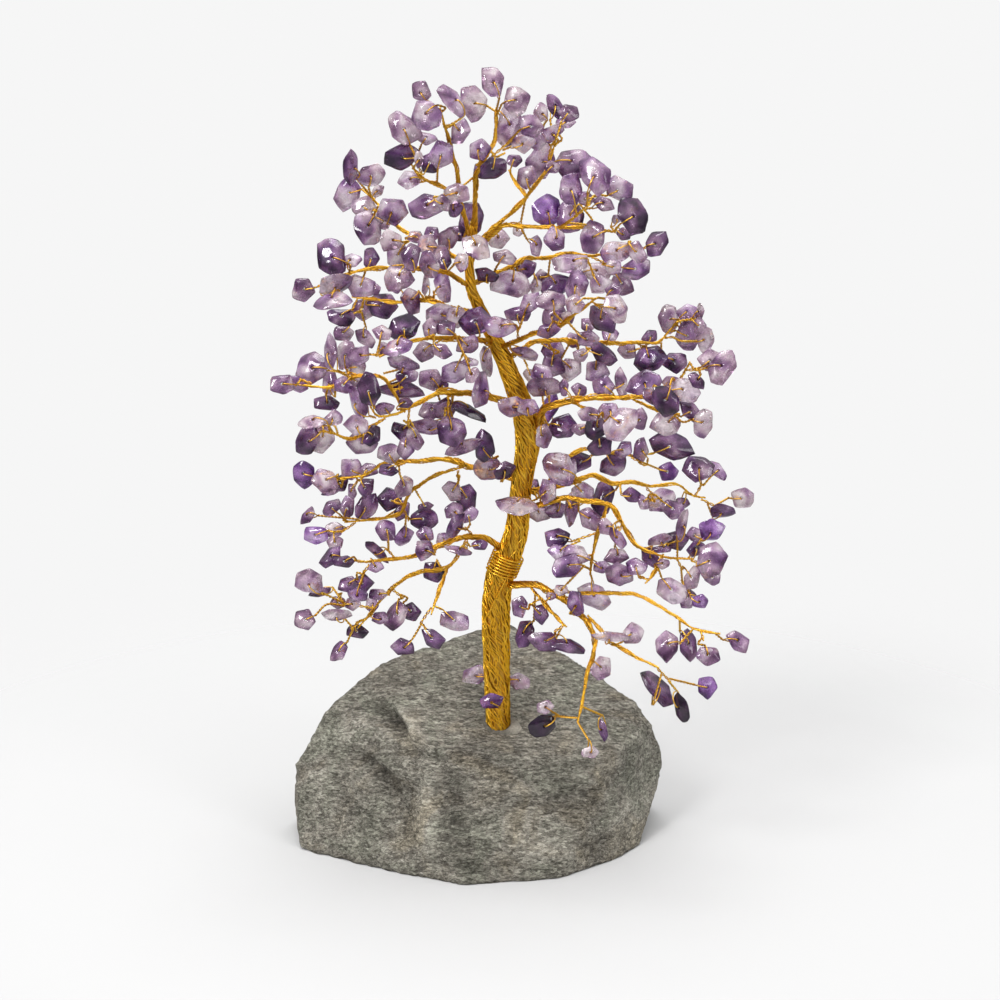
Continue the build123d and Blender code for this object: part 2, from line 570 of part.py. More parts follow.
# A chip: a faceted pebble whose rim lies across its middle, with a three-sided bore through its flat faces
class Chip:
    def __init__(self, row, depth):
        across, down, length, width, turn = row
        self.pixel = (across, down)
        self.depth = depth
        long_way = view_right * math.cos(math.radians(turn)) + view_up * math.sin(math.radians(turn))
        wide_way = cross(view_back, long_way)
        edgewise = width / length < edge_share
        tilt = edge_tilt if edgewise else chip_tilt * abs(chance.uniform(-1, 1))
        tilt *= chance.choice([-1, 1])
        lean = chip_lean * chance.uniform(-1, 1)
        self.long = turned(long_way, wide_way, lean)
        self.wide = turned(wide_way, self.long, tilt)
        self.normal = cross(self.long, self.wide)
        if self.normal @ view_back < 0:
            self.wide = -self.wide
            self.normal = -self.normal
        half_length = chip_length * length / 2
        thick_share = chance.uniform(chip_thin_share, chip_thick_share)
        self.thick = chip_length * math.sqrt(length * width) * thick_share
        half_width = chip_length * width / 2
        if edgewise:
            half_width = (half_width - self.thick * abs(math.sin(tilt)) * 0.3) / math.cos(tilt)
            half_width = min(half_width, half_length)
        count = 5 if length < 1.05 else 6
        first = chance.uniform(0, 2 * math.pi)
        self.rim = []
        for number in range(count):
            shift = chance.uniform(-chip_turn_share, chip_turn_share) * 2 * math.pi / count
            angle = first + 2 * math.pi * number / count + shift
            swell = 1.08 + chance.uniform(-chip_corner_share, chip_corner_share)
            lift = chance.uniform(-chip_warp_share, chip_warp_share) * chip_length * length
            along = half_length * swell * math.cos(angle)
            aside = half_width * swell * math.sin(angle)
            self.rim.append(np.array([along, aside, lift]))
        self.bore = np.zeros(3)
        self.arrival = 0.0

    def aim(self, hub):
        """Turns the wire's arrival, and the bore that goes with it, to the hub"""
        toward = hub - self.centre()
        self.arrival = math.atan2(toward @ self.wide, toward @ self.long)
        side = np.array([math.cos(self.arrival), math.sin(self.arrival), 0.0])
        reach = max(corner @ side for corner in self.rim)
        self.bore = side * reach * bore_offset_share

    def centre(self):
        return place(*self.pixel, self.depth)

    def world(self, local):
        return self.centre() + self.long * local[0] + self.wide * local[1] + self.normal * local[2]

    def mouth(self, height):
        radius = twig_wire + bore_clearance / math.cos(math.pi / wire_sides)
        corners = []
        for number in range(wire_sides):
            angle = 2 * math.pi * number / wire_sides
            corner = np.array([radius * math.cos(angle), radius * math.sin(angle), height])
            corners.append(self.bore + corner)
        return corners

    def loop(self, arrival):
        """The wire past the rim, through the bore and back to the rim, in the chip's own frame"""
        side = np.array([math.cos(arrival), math.sin(arrival), 0.0])
        reach = max(corner @ side for corner in self.rim)
        ring = side * reach
        over = self.thick / 2 + loop_reach
        outside = ring + side * loop_side - upright * over * loop_slope_share
        behind = self.bore - upright * over
        front = self.bore + upright * over
        tail = ring + side * loop_tail + upright * over * loop_slope_share
        return [outside, behind, front, tail]

    def body(self):
        return self.rim + self.mouth(self.thick / 2) + self.mouth(-self.thick / 2)


def spread_directions(count):
    """Directions spread evenly over a sphere, each with its opposite"""
    rows = []
    for number in range(count // 2):
        height = (number + 0.5) / (count // 2)
        angle = number * math.pi * (3 - math.sqrt(5))
        flat = math.sqrt(1 - height * height)
        rows.append([flat * math.cos(angle), flat * math.sin(angle), height])
    rows = np.array(rows)
    return np.concatenate([rows, -rows])


directions = spread_directions(120)
half_count = len(directions) // 2
opposite = np.concatenate([np.arange(half_count) + half_count, np.arange(half_count)])


def hull_points(chip):
    """Corners of the chip and its wire loop, the wire's thickness included, from the chip's centre"""
    points = [local for local in chip.body()]
    radius = twig_wire
    for local in chip.loop(chip.arrival):
        for shift in (-radius, radius):
            points += [local + way for way in np.eye(3) * shift]
    return np.array([chip.long * p[0] + chip.wide * p[1] + chip.normal * p[2] for p in points])


def settle(chips, rods):
    """Moves chips along their lines of sight until none touches another, a limb or the stone"""
    least_move = settle_step_share * chip_length
    shapes = [hull_points(chip) for chip in chips]
    reaches = np.array([(shape @ directions.T).max(axis=0) for shape in shapes])
    stone_ways = np.array([face for face, far in stone_faces])
    stone_fars = np.array([far for face, far in stone_faces])
    stone_reaches = np.array([(shape @ stone_ways.T).min(axis=0) - stone_fars for shape in shapes])
    starts = np.array([start for start, end, radius, route in rods])
    ends = np.array([end for start, end, radius, route in rods])
    thick = np.array([radius for start, end, radius, route in rods])[:, None]
    rod_high = np.maximum(starts @ directions.T, ends @ directions.T) + thick
    rod_middle = (starts + ends) / 2
    rod_size = np.linalg.norm(ends - starts, axis=1) / 2 + thick[:, 0]
    for turn in range(settle_turns):
        centres = np.array([chip.centre() for chip in chips])
        along = centres @ directions.T
        high = along + reaches
        low = along - reaches[:, opposite]
        moves = np.zeros(len(chips))
        worst = 0.0
        apart = np.linalg.norm(centres[:, None] - centres[None], axis=2)
        firsts, seconds = np.where(np.triu(apart < 2.4 * chip_length, 1))
        gaps = (low[firsts] - high[seconds]).max(axis=1)
        for first, second, gap in zip(firsts, seconds, gaps):
            need = chip_clearance - gap
            if need > 0:
                worst = max(worst, need)
                sign = 1 if (chips[first].depth, first) > (chips[second].depth, second) else -1
                moves[first] += sign * (need * 0.35 + least_move)
                moves[second] -= sign * (need * 0.35 + least_move)
        apart = np.linalg.norm(centres[:, None] - rod_middle[None], axis=2) - rod_size[None]
        firsts, seconds = np.where(apart < 1.3 * chip_length)
        gaps = (low[firsts] - rod_high[seconds]).max(axis=1)
        for first, second, gap in zip(firsts, seconds, gaps):
            need = chip_clearance - gap
            if need > 0:
                worst = max(worst, need)
                run = ends[second] - starts[second]
                share = min(max((centres[first] - starts[second]) @ run / (run @ run), 0.0), 1.0)
                depth = starts[second][1] + run[1] * share
                sign = 1 if chips[first].depth >= depth and turn < settle_turns / 2 else -1
                moves[first] += sign * (need * 0.6 + least_move)
        stone_gaps = (stone_reaches + centres @ stone_ways.T).max(axis=1)
        for number in np.where(stone_gaps < 2 * chip_clearance)[0]:
            need = 2 * chip_clearance - stone_gaps[number]
            worst = max(worst, need)
            moves[number] -= need * 0.6 + least_move
        if worst < 1e-6:
            break
        for chip, move in zip(chips, moves):
            chip.depth += max(min(move, chip_length / 4), -chip_length / 4)
    print("chips settled in", turn, "turns, still short", round(worst, 3))


def rod_gaps(starts, ends, others_start, others_end):
    """Distances between every one of the first segments and every one of the others"""
    d1 = (ends - starts)[:, None]
    d2 = (others_end - others_start)[None]
    r = starts[:, None] - others_start[None]
    a = (d1 * d1).sum(-1)
    e = (d2 * d2).sum(-1)
    f = (d2 * r).sum(-1)
    c = (d1 * r).sum(-1)
    b = (d1 * d2).sum(-1)
    denominator = np.maximum(a * e - b * b, 1e-9)
    s = np.clip((b * f - c * e) / denominator, 0, 1)
    t = np.clip((b * s + f) / e, 0, 1)
    s = np.clip((b * t - c) / a, 0, 1)
    return np.linalg.norm(r + d1 * s[..., None] - d2 * t[..., None], axis=-1)


class Space:
    """Everything that a wire has to keep clear of"""

    def __init__(self, chips, rods):
        self.chips = chips
        self.centres = np.array([chip.centre() for chip in chips])
        self.ways = []
        self.far = []
        self.bare = []
        for chip in chips:
            own = np.array([chip.normal, -chip.normal, chip.long, -chip.long, chip.wide, -chip.wide])
            middle = chip.centre()
            normals = []
            count = len(chip.rim)
            for height in (chip.thick / 2, -chip.thick / 2):
                peak = chip.world(chip.bore + upright * height)
                for number in range(count):
                    one = chip.world(chip.rim[number])
                    two = chip.world(chip.rim[(number + 1) % count])
                    face = unit(cross(two - one, peak - one))
                    normals.append(face if face @ (one - middle) > 0 else -face)
            while len(normals) < 12:
                normals.append(normals[-1])
            ways = np.concatenate([directions, own, np.array(normals)])
            self.ways.append(ways)
            self.far.append((hull_points(chip) @ ways.T).max(axis=0) + middle @ ways.T)
            body = np.array([chip.world(local) for local in chip.body()])
            self.bare.append((body @ ways.T).max(axis=0))
        self.ways = np.array(self.ways)
        self.far = np.array(self.far)
        self.bare = np.array(self.bare)
        self.starts = [start for start, end, radius, route in rods]
        self.ends = [end for start, end, radius, route in rods]
        self.radii = [radius for start, end, radius, route in rods]
        self.owners = [route for start, end, radius, route in rods]

    def add(self, points, radius, owner=None):
        for start, end in zip(points, points[1:]):
            self.starts.append(start)
            self.ends.append(end)
            self.radii.append(radius)
            self.owners.append(owner)

    def room(self, points, radius, parent, parent_skip, own=None):
        """Least gap of a bent wire to everything else; its first part may lie against its parent"""
        points = [np.array(point) for point in points]
        starts = np.array(points[:-1])
        ends = np.array(points[1:])
        middle = (starts.min(axis=0) + ends.max(axis=0)) / 2
        size = np.linalg.norm(ends - starts, axis=1).sum() / 2 + 1.5 * chip_length
        near = [n for n in np.where(np.linalg.norm(self.centres - middle, axis=1) < size)[0] if n != own]
        gap = chip_length
        if near:
            one = np.einsum("mk,cdk->mcd", starts, self.ways[near])
            two = np.einsum("mk,cdk->mcd", ends, self.ways[near])
            gap = (np.minimum(one, two) - radius - self.far[near][None]).max(axis=2).min()
        if own is not None and len(points) > 4:
            legs = len(points) - 4
            one = starts[:legs] @ self.ways[own].T
            two = ends[:legs] @ self.ways[own].T
            gap = min(gap, (np.minimum(one, two) - radius - self.bare[own]).max(axis=1).min())
            tail = rod_gaps(starts[:legs], ends[:legs], starts[-1:], ends[-1:])
            gap = min(gap, tail.min() - 2 * radius)
        if gap < 0:
            return gap
        others_start = np.array(self.starts)
        others_end = np.array(self.ends)
        others_radius = np.array(self.radii)
        gaps = rod_gaps(starts, ends, others_start, others_end) - radius - others_radius[None]
        kin = np.array([owner is parent for owner in self.owners])
        first_length = np.linalg.norm(ends[0] - starts[0])
        free = starts[:1] + unit(ends[0] - starts[0]) * min(parent_skip, first_length * 0.8)
        kin_gaps = rod_gaps(free, ends[:1], others_start[kin], others_end[kin])[0]
        gaps[0, kin] = kin_gaps - radius - others_radius[kin]
        gap = min(gap, gaps.min())
        for a, b in zip(points, points[1:]):
            stone_gap = max(min(a @ face, b @ face) - far for face, far in stone_faces)
            gap = min(gap, stone_gap - radius)
        return gap


def gentle(points):
    """Whether the bends of a twig before its loop are no sharper than its wire can take"""
    legs = points[:-2]
    runs = [unit(b - a) for a, b in zip(legs, legs[1:])]
    return all(before @ after > -0.4 for before, after in zip(runs, runs[1:]))


def twig_choices(chip, parents):
    """Ways for a twig from its parents' sides to its chip, the plainest first"""
    choices = []
    for parent, ways in parents:
        for way in ways:
            for turn in (0, 25, -25, 50, -50, 80, -80, 115, -115, 150, -150):
                loop = [chip.world(local) for local in chip.loop(chip.arrival + math.radians(turn))]
                source = parent.at(way)[0]
                straight = loop[0] - source
                length = np.linalg.norm(straight)
                if length < 2 * loop_side:
                    continue
                one = unit(cross(straight, chip.normal) + 1e-6)
                two = unit(cross(straight, one))
                cost = length + chip_length * abs(turn) / 115
                choices.append((cost, len(choices), parent, way, loop, None))
                for share in twig_bow_shares:
                    bow = share * chip_length
                    for sideways in (one, -one, two, -two):
                        elbow = source + straight * 0.5 + sideways * bow
                        bent_cost = cost + chip_length / 8 + bow / 2
                        choices.append((bent_cost, len(choices), parent, way, loop, elbow))
    return sorted(choices, key=lambda row: row[:2])


all_routes = []
all_sprays = []
for number, limb in enumerate(limbs):
    routes = limb_routes(limb)
    all_routes.append(routes)
    plan = []
    for rows in limb["sprays"]:
        middle = np.mean([[row[0], row[1]] for row in rows], axis=0)
        gaps = []
        for route in routes:
            for way in np.linspace(0.0, route.length, 80):
                spot = shown(route.at(way)[0])
                gaps.append((np.linalg.norm(spot - middle), len(gaps), route, way))
        gap, order, route, way = min(gaps, key=lambda row: row[:2])
        way = max(way - 0.45 * gap * pixel_size, min(chip_length, route.length) / 4)
        plan.append([route, way, rows])
    for route in routes:
        mine = sorted([row for row in plan if row[0] is route], key=lambda row: row[1])
        for before, after in zip(mine, mine[1:]):
            after[1] = max(after[1], before[1] + spray_step_share * chip_length)
        over = mine[-1][1] - (route.length - sprig_wire) if mine else 0.0
        for row in mine:
            row[1] = max(row[1] - max(over, 0.0), branch_root)
    for route, way, rows in plan:
        source = route.at(way)[0]
        chips = [Chip(row, source[1] + chance.uniform(-1, 1) * 0.8 * chip_length) for row in rows]
        middle = np.mean([chip.centre() for chip in chips], axis=0)
        hub = source + (middle - source) * 0.5
        for chip in chips:
            chip.aim(hub)
        all_sprays.append(dict(limb=number, route=route, way=way, chips=chips))
for row in foot_chips:
    chip = Chip(row[:5], row[5] * crown_half_depth)
    way = trunk_route.nearest(place(row[0], row[1], 0.0))
    chip.aim(trunk_route.at(way)[0])
    all_sprays.append(dict(limb=None, route=trunk_route, way=way, chips=[chip]))

chips = [chip for spray in all_sprays for chip in spray["chips"]]
rods = []
for route in [trunk_route] + [route for routes in all_routes for route in routes]:
    for number in range(len(route.runs)):
        radius = max(route.radii[number], route.radii[number + 1])
        rods.append((route.points[number], route.points[number + 1], radius, route))
rods.append((wrap_foot, wrap_top, wrap_radius + wrap_wire, None))
settle(chips, rods)
space = Space(chips, rods)

# Sprigs, then twigs, each by the plainest way that stays clear
short = []
for spray in all_sprays:
    route = spray["route"]
    spray["sprig"] = None
    middle = np.mean([chip.centre() for chip in spray["chips"]], axis=0)
    source = route.at(spray["way"])[0]
    if len(spray["chips"]) == 1 or np.linalg.norm(middle - source) < 0.7 * chip_length:
        continue
    choices = []
    for shift_share in shift_shares:
        shift = shift_share * chip_length
        way = spray["way"] + shift
        if way < sprig_wire or way > route.length - wire_spacing:
            continue
        source = route.at(way)[0]
        straight = middle - source
        length = np.linalg.norm(straight)
        one = unit(cross(straight, view_back))
        two = unit(cross(straight, one))
        for share in (0.5, 0.62, 0.4, 0.75, 0.3):
            for bow_share in sprig_bow_shares:
                bow = bow_share * chip_length
                for sideways in (one, -one, two, -two):
                    end = source + straight * share + sideways * bow
                    cost = abs(share - 0.5) * chip_length + bow + abs(shift)
                    choices.append((cost, len(choices), way, end))
                    if bow_share == 0.0:
                        break
    best = None
    for cost, order, way, end in sorted(choices):
        start = route.leave(way, end, sprig_wire)
        if np.linalg.norm(end - start) < sprig_least_share * chip_length:
            continue
        gap = space.room([start, end], sprig_wire, route, limb_root)
        if gap > wire_spacing:
            best = (gap, way, start, end)
            break
    if best is None:
        continue
    gap, way, start, end = best
    spray["sprig"] = Route([start, end], [sprig_wire, sprig_wire], plain_corners(wire_sides))
    space.add([start, end], sprig_wire, spray["sprig"])

for spray in all_sprays:
    spray["twigs"] = []
    for chip in spray["chips"]:
        parents = []
        sprig = spray["sprig"]
        if sprig is not None:
            parents.append((sprig, [sprig.length * share for share in (0.97, 0.8, 0.62, 0.44, 0.26)]))
        route = spray["route"]
        near = route.nearest(chip.centre())
        ways = [spray["way"] + share * chip_length for share in shift_shares]
        ways += [near + share * chip_length for share in near_shift_shares]
        parents.append((route, [way for way in ways if twig_wire < way < route.length - wire_clearance]))
        own = chips.index(chip)
        best = None
        for cost, order, parent, way, loop, elbow in twig_choices(chip, parents):
            target = loop[0] if elbow is None else elbow
            start = parent.leave(way, target, twig_wire)
            points = [start] + ([] if elbow is None else [elbow]) + loop
            if np.linalg.norm(points[1] - points[0]) < twig_least_share * chip_length or not gentle(points):
                continue
            gap = space.room(points, twig_wire, parent, 2 * sprig_wire, own)
            if best is None or gap > best[0]:
                best = (gap, points)
            if gap > wire_spacing:
                break
        if best is None:
            loop = [chip.world(local) for local in chip.loop(chip.arrival)]
            parent, ways = parents[0]
            best = (-chip_length, [parent.leave(ways[0], loop[0], twig_wire)] + loop)
        gap, points = best
        if gap < wire_spacing:
            short.append((round(gap, 2), spray["limb"], chip.pixel))
        spray["twigs"].append(points)
        space.add(points, twig_wire)
print(len(chips), "chips,", sum(spray["sprig"] is not None for spray in all_sprays), "sprigs")
print("twigs closer than planned:", short)


def section_plane(route, number):
    """The plane across a route at one of its points"""
    last = len(route.runs) - 1
    before = route.runs[max(number - 1, 0)]
    after = route.runs[min(number, last)]
    middle = unit(before + after)
    own = min(number, last)
    across = carried(route.across[own], route.runs[own], middle)
    return Plane(origin=tuple(route.points[number]), x_dir=tuple(across), z_dir=tuple(middle))


def section_corners(route, number):
    corners = []
    for angle, share in route.corners:
        radius = route.radii[number] * share
        corners.append((radius * math.cos(angle), radius * math.sin(angle)))
    return corners


def bundle(route):
    """A tapering bundle of wires, ruled from section to section"""
    with BuildPart() as rod:
        for number in range(len(route.points)):
            with BuildSketch(section_plane(route, number)):
                Polygon(*section_corners(route, number), align=None)
        loft(ruled=True)
    return rod.part


def wire(points, radius, across):
    """A three-sided wire, mitred at its bends"""
    first = unit(points[1] - points[0])
    with BuildPart() as rod:
        with BuildLine():
            Polyline(*[tuple(point) for point in points])
        with BuildSketch(Plane(origin=tuple(points[0]), x_dir=tuple(across), z_dir=tuple(first))):
            RegularPolygon(radius, wire_sides)
        sweep(transition=Transition.RIGHT)
    return rod.part


def twig_solid(points, chip):
    """A twig whose wire lies square in its chip's three-sided bore"""
    runs = [unit(b - a) for a, b in zip(points, points[1:])]
    across = chip.long
    for before, after in zip(runs[-3::-1], runs[-2:0:-1]):
        across = carried(across, after, before)
    return wire(points, twig_wire, across)


def chip_solid(chip):
    """A pebble of flat facets between its rim and the two mouths of its bore"""
    rim = [chip.world(local) for local in chip.rim]
    faces = []
    mouths = []
    for height in (chip.thick / 2, -chip.thick / 2):
        mouths.append([chip.world(local) for local in chip.mouth(height)])
    rim_turns = []
    for local in chip.rim:
        side = local - chip.bore
        rim_turns.append(math.atan2(side[1], side[0]) % (2 * math.pi))
    order = sorted(range(len(rim)), key=lambda number: rim_turns[number])
    rim = [rim[number] for number in order]
    rim_turns = [rim_turns[number] for number in order]
    count = len(rim)
    for mouth in mouths:
        outer = 0
        inner = 0
        while outer < count or inner < wire_sides:
            next_outer = rim_turns[(outer + 1) % count] + (2 * math.pi if outer + 1 >= count else 0.0)
            next_inner = 2 * math.pi * (inner + 0.5) / wire_sides
            if inner >= wire_sides or (outer < count and next_outer < next_inner):
                corners = [rim[outer % count], rim[(outer + 1) % count], mouth[inner % wire_sides]]
                outer += 1
            else:
                corners = [rim[outer % count], mouth[(inner + 1) % wire_sides], mouth[inner % wire_sides]]
                inner += 1
            faces.append(Face(Wire.make_polygon([tuple(corner) for corner in corners])))
    for number in range(wire_sides):
        after = (number + 1) % wire_sides
        corners = [mouths[0][number], mouths[0][after], mouths[1][after], mouths[1][number]]
        faces.append(Face(Wire.make_polygon([tuple(corner) for corner in corners])))
    return Solid(Shell(faces))


os.makedirs("parts", exist_ok=True)

# The stone, cut by its cleavage planes, with the socket and the pocket for the cement
smear_across = foot_across + foot_radius + cement_width / 3
smear_back = -foot_radius / 3
block_width = 2 * stone_width
block_height = stone_width * stone_height_share
with BuildPart() as stone_base:
    Box(block_width, block_width, block_height, align=(Align.CENTER, Align.CENTER, Align.MIN))
    for face, far in stone_faces:
        split(bisect_by=Plane(origin=tuple(face * far), z_dir=tuple(face)), keep=Keep.BOTTOM)
    with BuildSketch(Plane.XY.offset(foot_height - socket_depth - socket_clearance)):
        with Locations((foot_across, 0)):
            Circle(foot_radius + socket_clearance)
    extrude(amount=stone_width, mode=Mode.SUBTRACT)
    with BuildSketch(Plane.XY.offset(foot_height - cement_depth - cement_clearance)):
        with Locations((foot_across, 0)):
            Circle(foot_radius + cement_width + cement_clearance)
        with Locations((smear_across, smear_back)):
            Circle(cement_smear + cement_clearance)
    extrude(amount=stone_width, mode=Mode.SUBTRACT)
stone_base.part.label = "stone_base"
export_step(stone_base.part, "parts/stone_base.step")

# The cement round the foot, level with the sloping top
with BuildPart() as socket_cement:
    with BuildSketch(Plane.XY.offset(foot_height - cement_depth)):
        with Locations((foot_across, 0)):
            Circle(foot_radius + cement_width)
        with Locations((smear_across, smear_back)):
            Circle(cement_smear)
        with Locations((foot_across, 0)):
            Circle(foot_radius + socket_clearance, mode=Mode.SUBTRACT)
    extrude(amount=stone_width)
    cement_top = top_face * (foot_height * top_face[2] + cement_rise)
    split(bisect_by=Plane(origin=tuple(cement_top), z_dir=tuple(top_face)), keep=Keep.BOTTOM)
socket_cement.part.label = "socket_cement"
export_step(socket_cement.part, "parts/socket_cement.step")

# The trunk: a fluted bundle that twists as it rises
with BuildPart() as trunk_bundle:
    for number in range(len(trunk_route.points)):
        with BuildSketch(section_plane(trunk_route, number)):
            Polygon(*section_corners(trunk_route, number), align=None)
    loft(ruled=True)
trunk_bundle.part.label = "trunk_bundle"
export_step(trunk_bundle.part, "parts/trunk_bundle.step")

# The binding: one wire wound round the trunk, half a turn to each pair of arcs
wrap_x = unit(cross(wrap_run, view_back))
wrap_y = cross(wrap_run, wrap_x)


def wrap_point(turn):
    angle = 2 * math.pi * turn
    return wrap_foot + wrap_x * wrap_radius * math.cos(angle) + wrap_y * wrap_radius * math.sin(angle) \
        + wrap_run * wrap_spacing * turn


def wrap_way_at(turn):
    angle = 2 * math.pi * turn
    around = (wrap_y * math.cos(angle) - wrap_x * math.sin(angle)) * 2 * math.pi * wrap_radius
    return unit(around + wrap_run * wrap_spacing)


with BuildPart() as trunk_wrap:
    with BuildLine():
        for half in range(2 * wrap_loops):
            start, end = wrap_point(half / 2), wrap_point(half / 2 + 0.5)
            out, into = wrap_way_at(half / 2), wrap_way_at(half / 2 + 0.5)
            gap = end - start
            both = out + into
            bend = 2 * (1 - out @ into)
            arm = (math.sqrt((gap @ both) ** 2 + bend * (gap @ gap)) - gap @ both) / bend
            joint = (start + out * arm + end - into * arm) / 2
            middle = unit(end - into * arm - start - out * arm)
            TangentArc(tuple(start), tuple(joint), tangent=tuple(out))
            TangentArc(tuple(joint), tuple(end), tangent=tuple(middle))
    wrap_start = Plane(origin=tuple(wrap_point(0)), x_dir=tuple(wrap_run), z_dir=tuple(wrap_way_at(0)))
    with BuildSketch(wrap_start):
        RegularPolygon(wrap_wire, wire_sides)
    sweep()
trunk_wrap.part.label = "trunk_wrap"
export_step(trunk_wrap.part, "parts/trunk_wrap.step")
wrap_samples = np.array([wrap_point(turn / 48) for turn in range(48 * wrap_loops + 1)])
wrap_gap = min(
    np.linalg.norm(wrap_samples[number + 24:] - wrap_samples[number], axis=1).min()
    for number in range(len(wrap_samples) - 24)
) - 2 * wrap_wire
print("least gap of the binding to itself", round(wrap_gap, 3))

# The limbs, each with its bundles, its sprigs and twigs, and its chips
for number, routes in enumerate(all_routes):
    sprays = [spray for spray in all_sprays if spray["limb"] == number]
    with BuildPart() as limb_bundle:
        add([bundle(route) for route in routes])
    limb_bundle.part.label = f"limb_{number + 1:02d}_bundle"
    export_step(limb_bundle.part, f"parts/{limb_bundle.part.label}.step")

    rods = []
    for spray in sprays:
        sprig = spray["sprig"]
        if sprig is not None:
            rods.append(bundle(sprig))
        rods += [twig_solid(points, chip) for points, chip in zip(spray["twigs"], spray["chips"])]
    with BuildPart() as limb_twigs:
        add(rods)
    limb_twigs.part.label = f"limb_{number + 1:02d}_twigs"
    export_step(limb_twigs.part, f"parts/{limb_twigs.part.label}.step")

    with BuildPart() as limb_chips:
        add([chip_solid(chip) for spray in sprays for chip in spray["chips"]])
    limb_chips.part.label = f"limb_{number + 1:02d}_chips"
    export_step(limb_chips.part, f"parts/{limb_chips.part.label}.step")

foot_sprays = [spray for spray in all_sprays if spray["limb"] is None]
with BuildPart() as foot_twigs:
    add([twig_solid(spray["twigs"][0], spray["chips"][0]) for spray in foot_sprays])
foot_twigs.part.label = "foot_twigs"
export_step(foot_twigs.part, "parts/foot_twigs.step")

with BuildPart() as foot_stones:
    add([chip_solid(spray["chips"][0]) for spray in foot_sprays])
foot_stones.part.label = "foot_chips"
export_step(foot_stones.part, "parts/foot_chips.step")
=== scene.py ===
import math
import random

import bmesh
import bpy
import numpy as np
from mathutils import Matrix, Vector, noise


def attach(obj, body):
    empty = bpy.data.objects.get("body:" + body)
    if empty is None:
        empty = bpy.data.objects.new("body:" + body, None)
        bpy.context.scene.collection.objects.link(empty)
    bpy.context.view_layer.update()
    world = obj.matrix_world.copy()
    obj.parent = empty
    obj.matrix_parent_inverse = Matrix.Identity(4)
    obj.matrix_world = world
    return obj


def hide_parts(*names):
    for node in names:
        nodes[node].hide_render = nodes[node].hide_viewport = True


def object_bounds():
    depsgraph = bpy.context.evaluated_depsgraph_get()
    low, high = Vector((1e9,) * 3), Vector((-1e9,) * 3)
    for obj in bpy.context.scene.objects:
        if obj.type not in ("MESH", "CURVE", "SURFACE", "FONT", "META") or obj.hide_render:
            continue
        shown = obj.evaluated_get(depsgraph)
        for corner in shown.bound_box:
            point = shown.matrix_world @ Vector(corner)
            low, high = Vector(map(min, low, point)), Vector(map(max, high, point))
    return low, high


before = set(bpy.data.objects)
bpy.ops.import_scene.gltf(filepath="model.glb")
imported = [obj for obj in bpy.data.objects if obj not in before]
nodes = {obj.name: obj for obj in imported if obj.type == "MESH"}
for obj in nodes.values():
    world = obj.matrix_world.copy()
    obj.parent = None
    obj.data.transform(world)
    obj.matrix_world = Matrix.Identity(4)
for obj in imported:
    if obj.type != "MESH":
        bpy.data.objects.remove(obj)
cad_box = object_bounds()
chance = random.Random(11)
MM = 0.001
FULL = 2 * math.pi
# Every piece stays this far inside the box of the solids
INSET = 0.02 * MM
room_low = np.array(cad_box[0]) + INSET
room_high = np.array(cad_box[1]) - INSET

# The photograph's view: the eye's distance, the height that it looks at and its slope, in metres
VIEW_DISTANCE = 1.2
VIEW_HEIGHT = 0.124
VIEW_SLOPE = math.radians(17)
FOCAL_PIXELS = 3514.0
MIDDLE_PIXEL = 500
view_back = np.array([0.0, -math.cos(VIEW_SLOPE), math.sin(VIEW_SLOPE)])
view_up = np.array([0.0, math.sin(VIEW_SLOPE), math.cos(VIEW_SLOPE)])
eye = np.array([0.0, 0.0, VIEW_HEIGHT]) + view_back * VIEW_DISTANCE


def shown(point):
    """The pixel, across and down, at which a point shows in the photograph"""
    ray = point - eye
    away = -(ray @ view_back)
    return MIDDLE_PIXEL + FOCAL_PIXELS * ray[0] / away, MIDDLE_PIXEL - FOCAL_PIXELS * (ray @ view_up) / away


def seen_at(across, down, depth):
    """The point at this depth, y, that shows at this pixel"""
    ray = np.array([(across - MIDDLE_PIXEL) / FOCAL_PIXELS, 0, 0])
    ray = ray + view_up * (MIDDLE_PIXEL - down) / FOCAL_PIXELS - view_back
    return eye + ray * (depth - eye[1]) / ray[1]


# Measuring lines and directions

def unit(v):
    return v / max(np.linalg.norm(v), 1e-12)


def square_to(v, axis):
    """Direction of the part of v that is square to an axis"""
    return unit(v - axis * (v @ axis))


def off_axis(points, start, axis):
    """How far each point is from the line through start along an axis"""
    off = points - start
    return np.linalg.norm(off - np.outer(off @ axis, axis), axis=1)


def ways_along(line):
    """Length along a line up to each of its points"""
    return np.concatenate([[0], np.cumsum(np.linalg.norm(np.diff(line, axis=0), axis=1))])


def gap_to_line(point, line):
    """Nearest point of a line of points, and how far it is"""
    starts, runs = line[:-1], np.diff(line, axis=0)
    shares = ((point - starts) * runs).sum(axis=1) / np.maximum((runs * runs).sum(axis=1), 1e-12)
    spots = starts + runs * np.clip(shares, 0, 1)[:, None]
    gaps = np.linalg.norm(spots - point, axis=1)
    k = int(np.argmin(gaps))
    return spots[k], gaps[k]


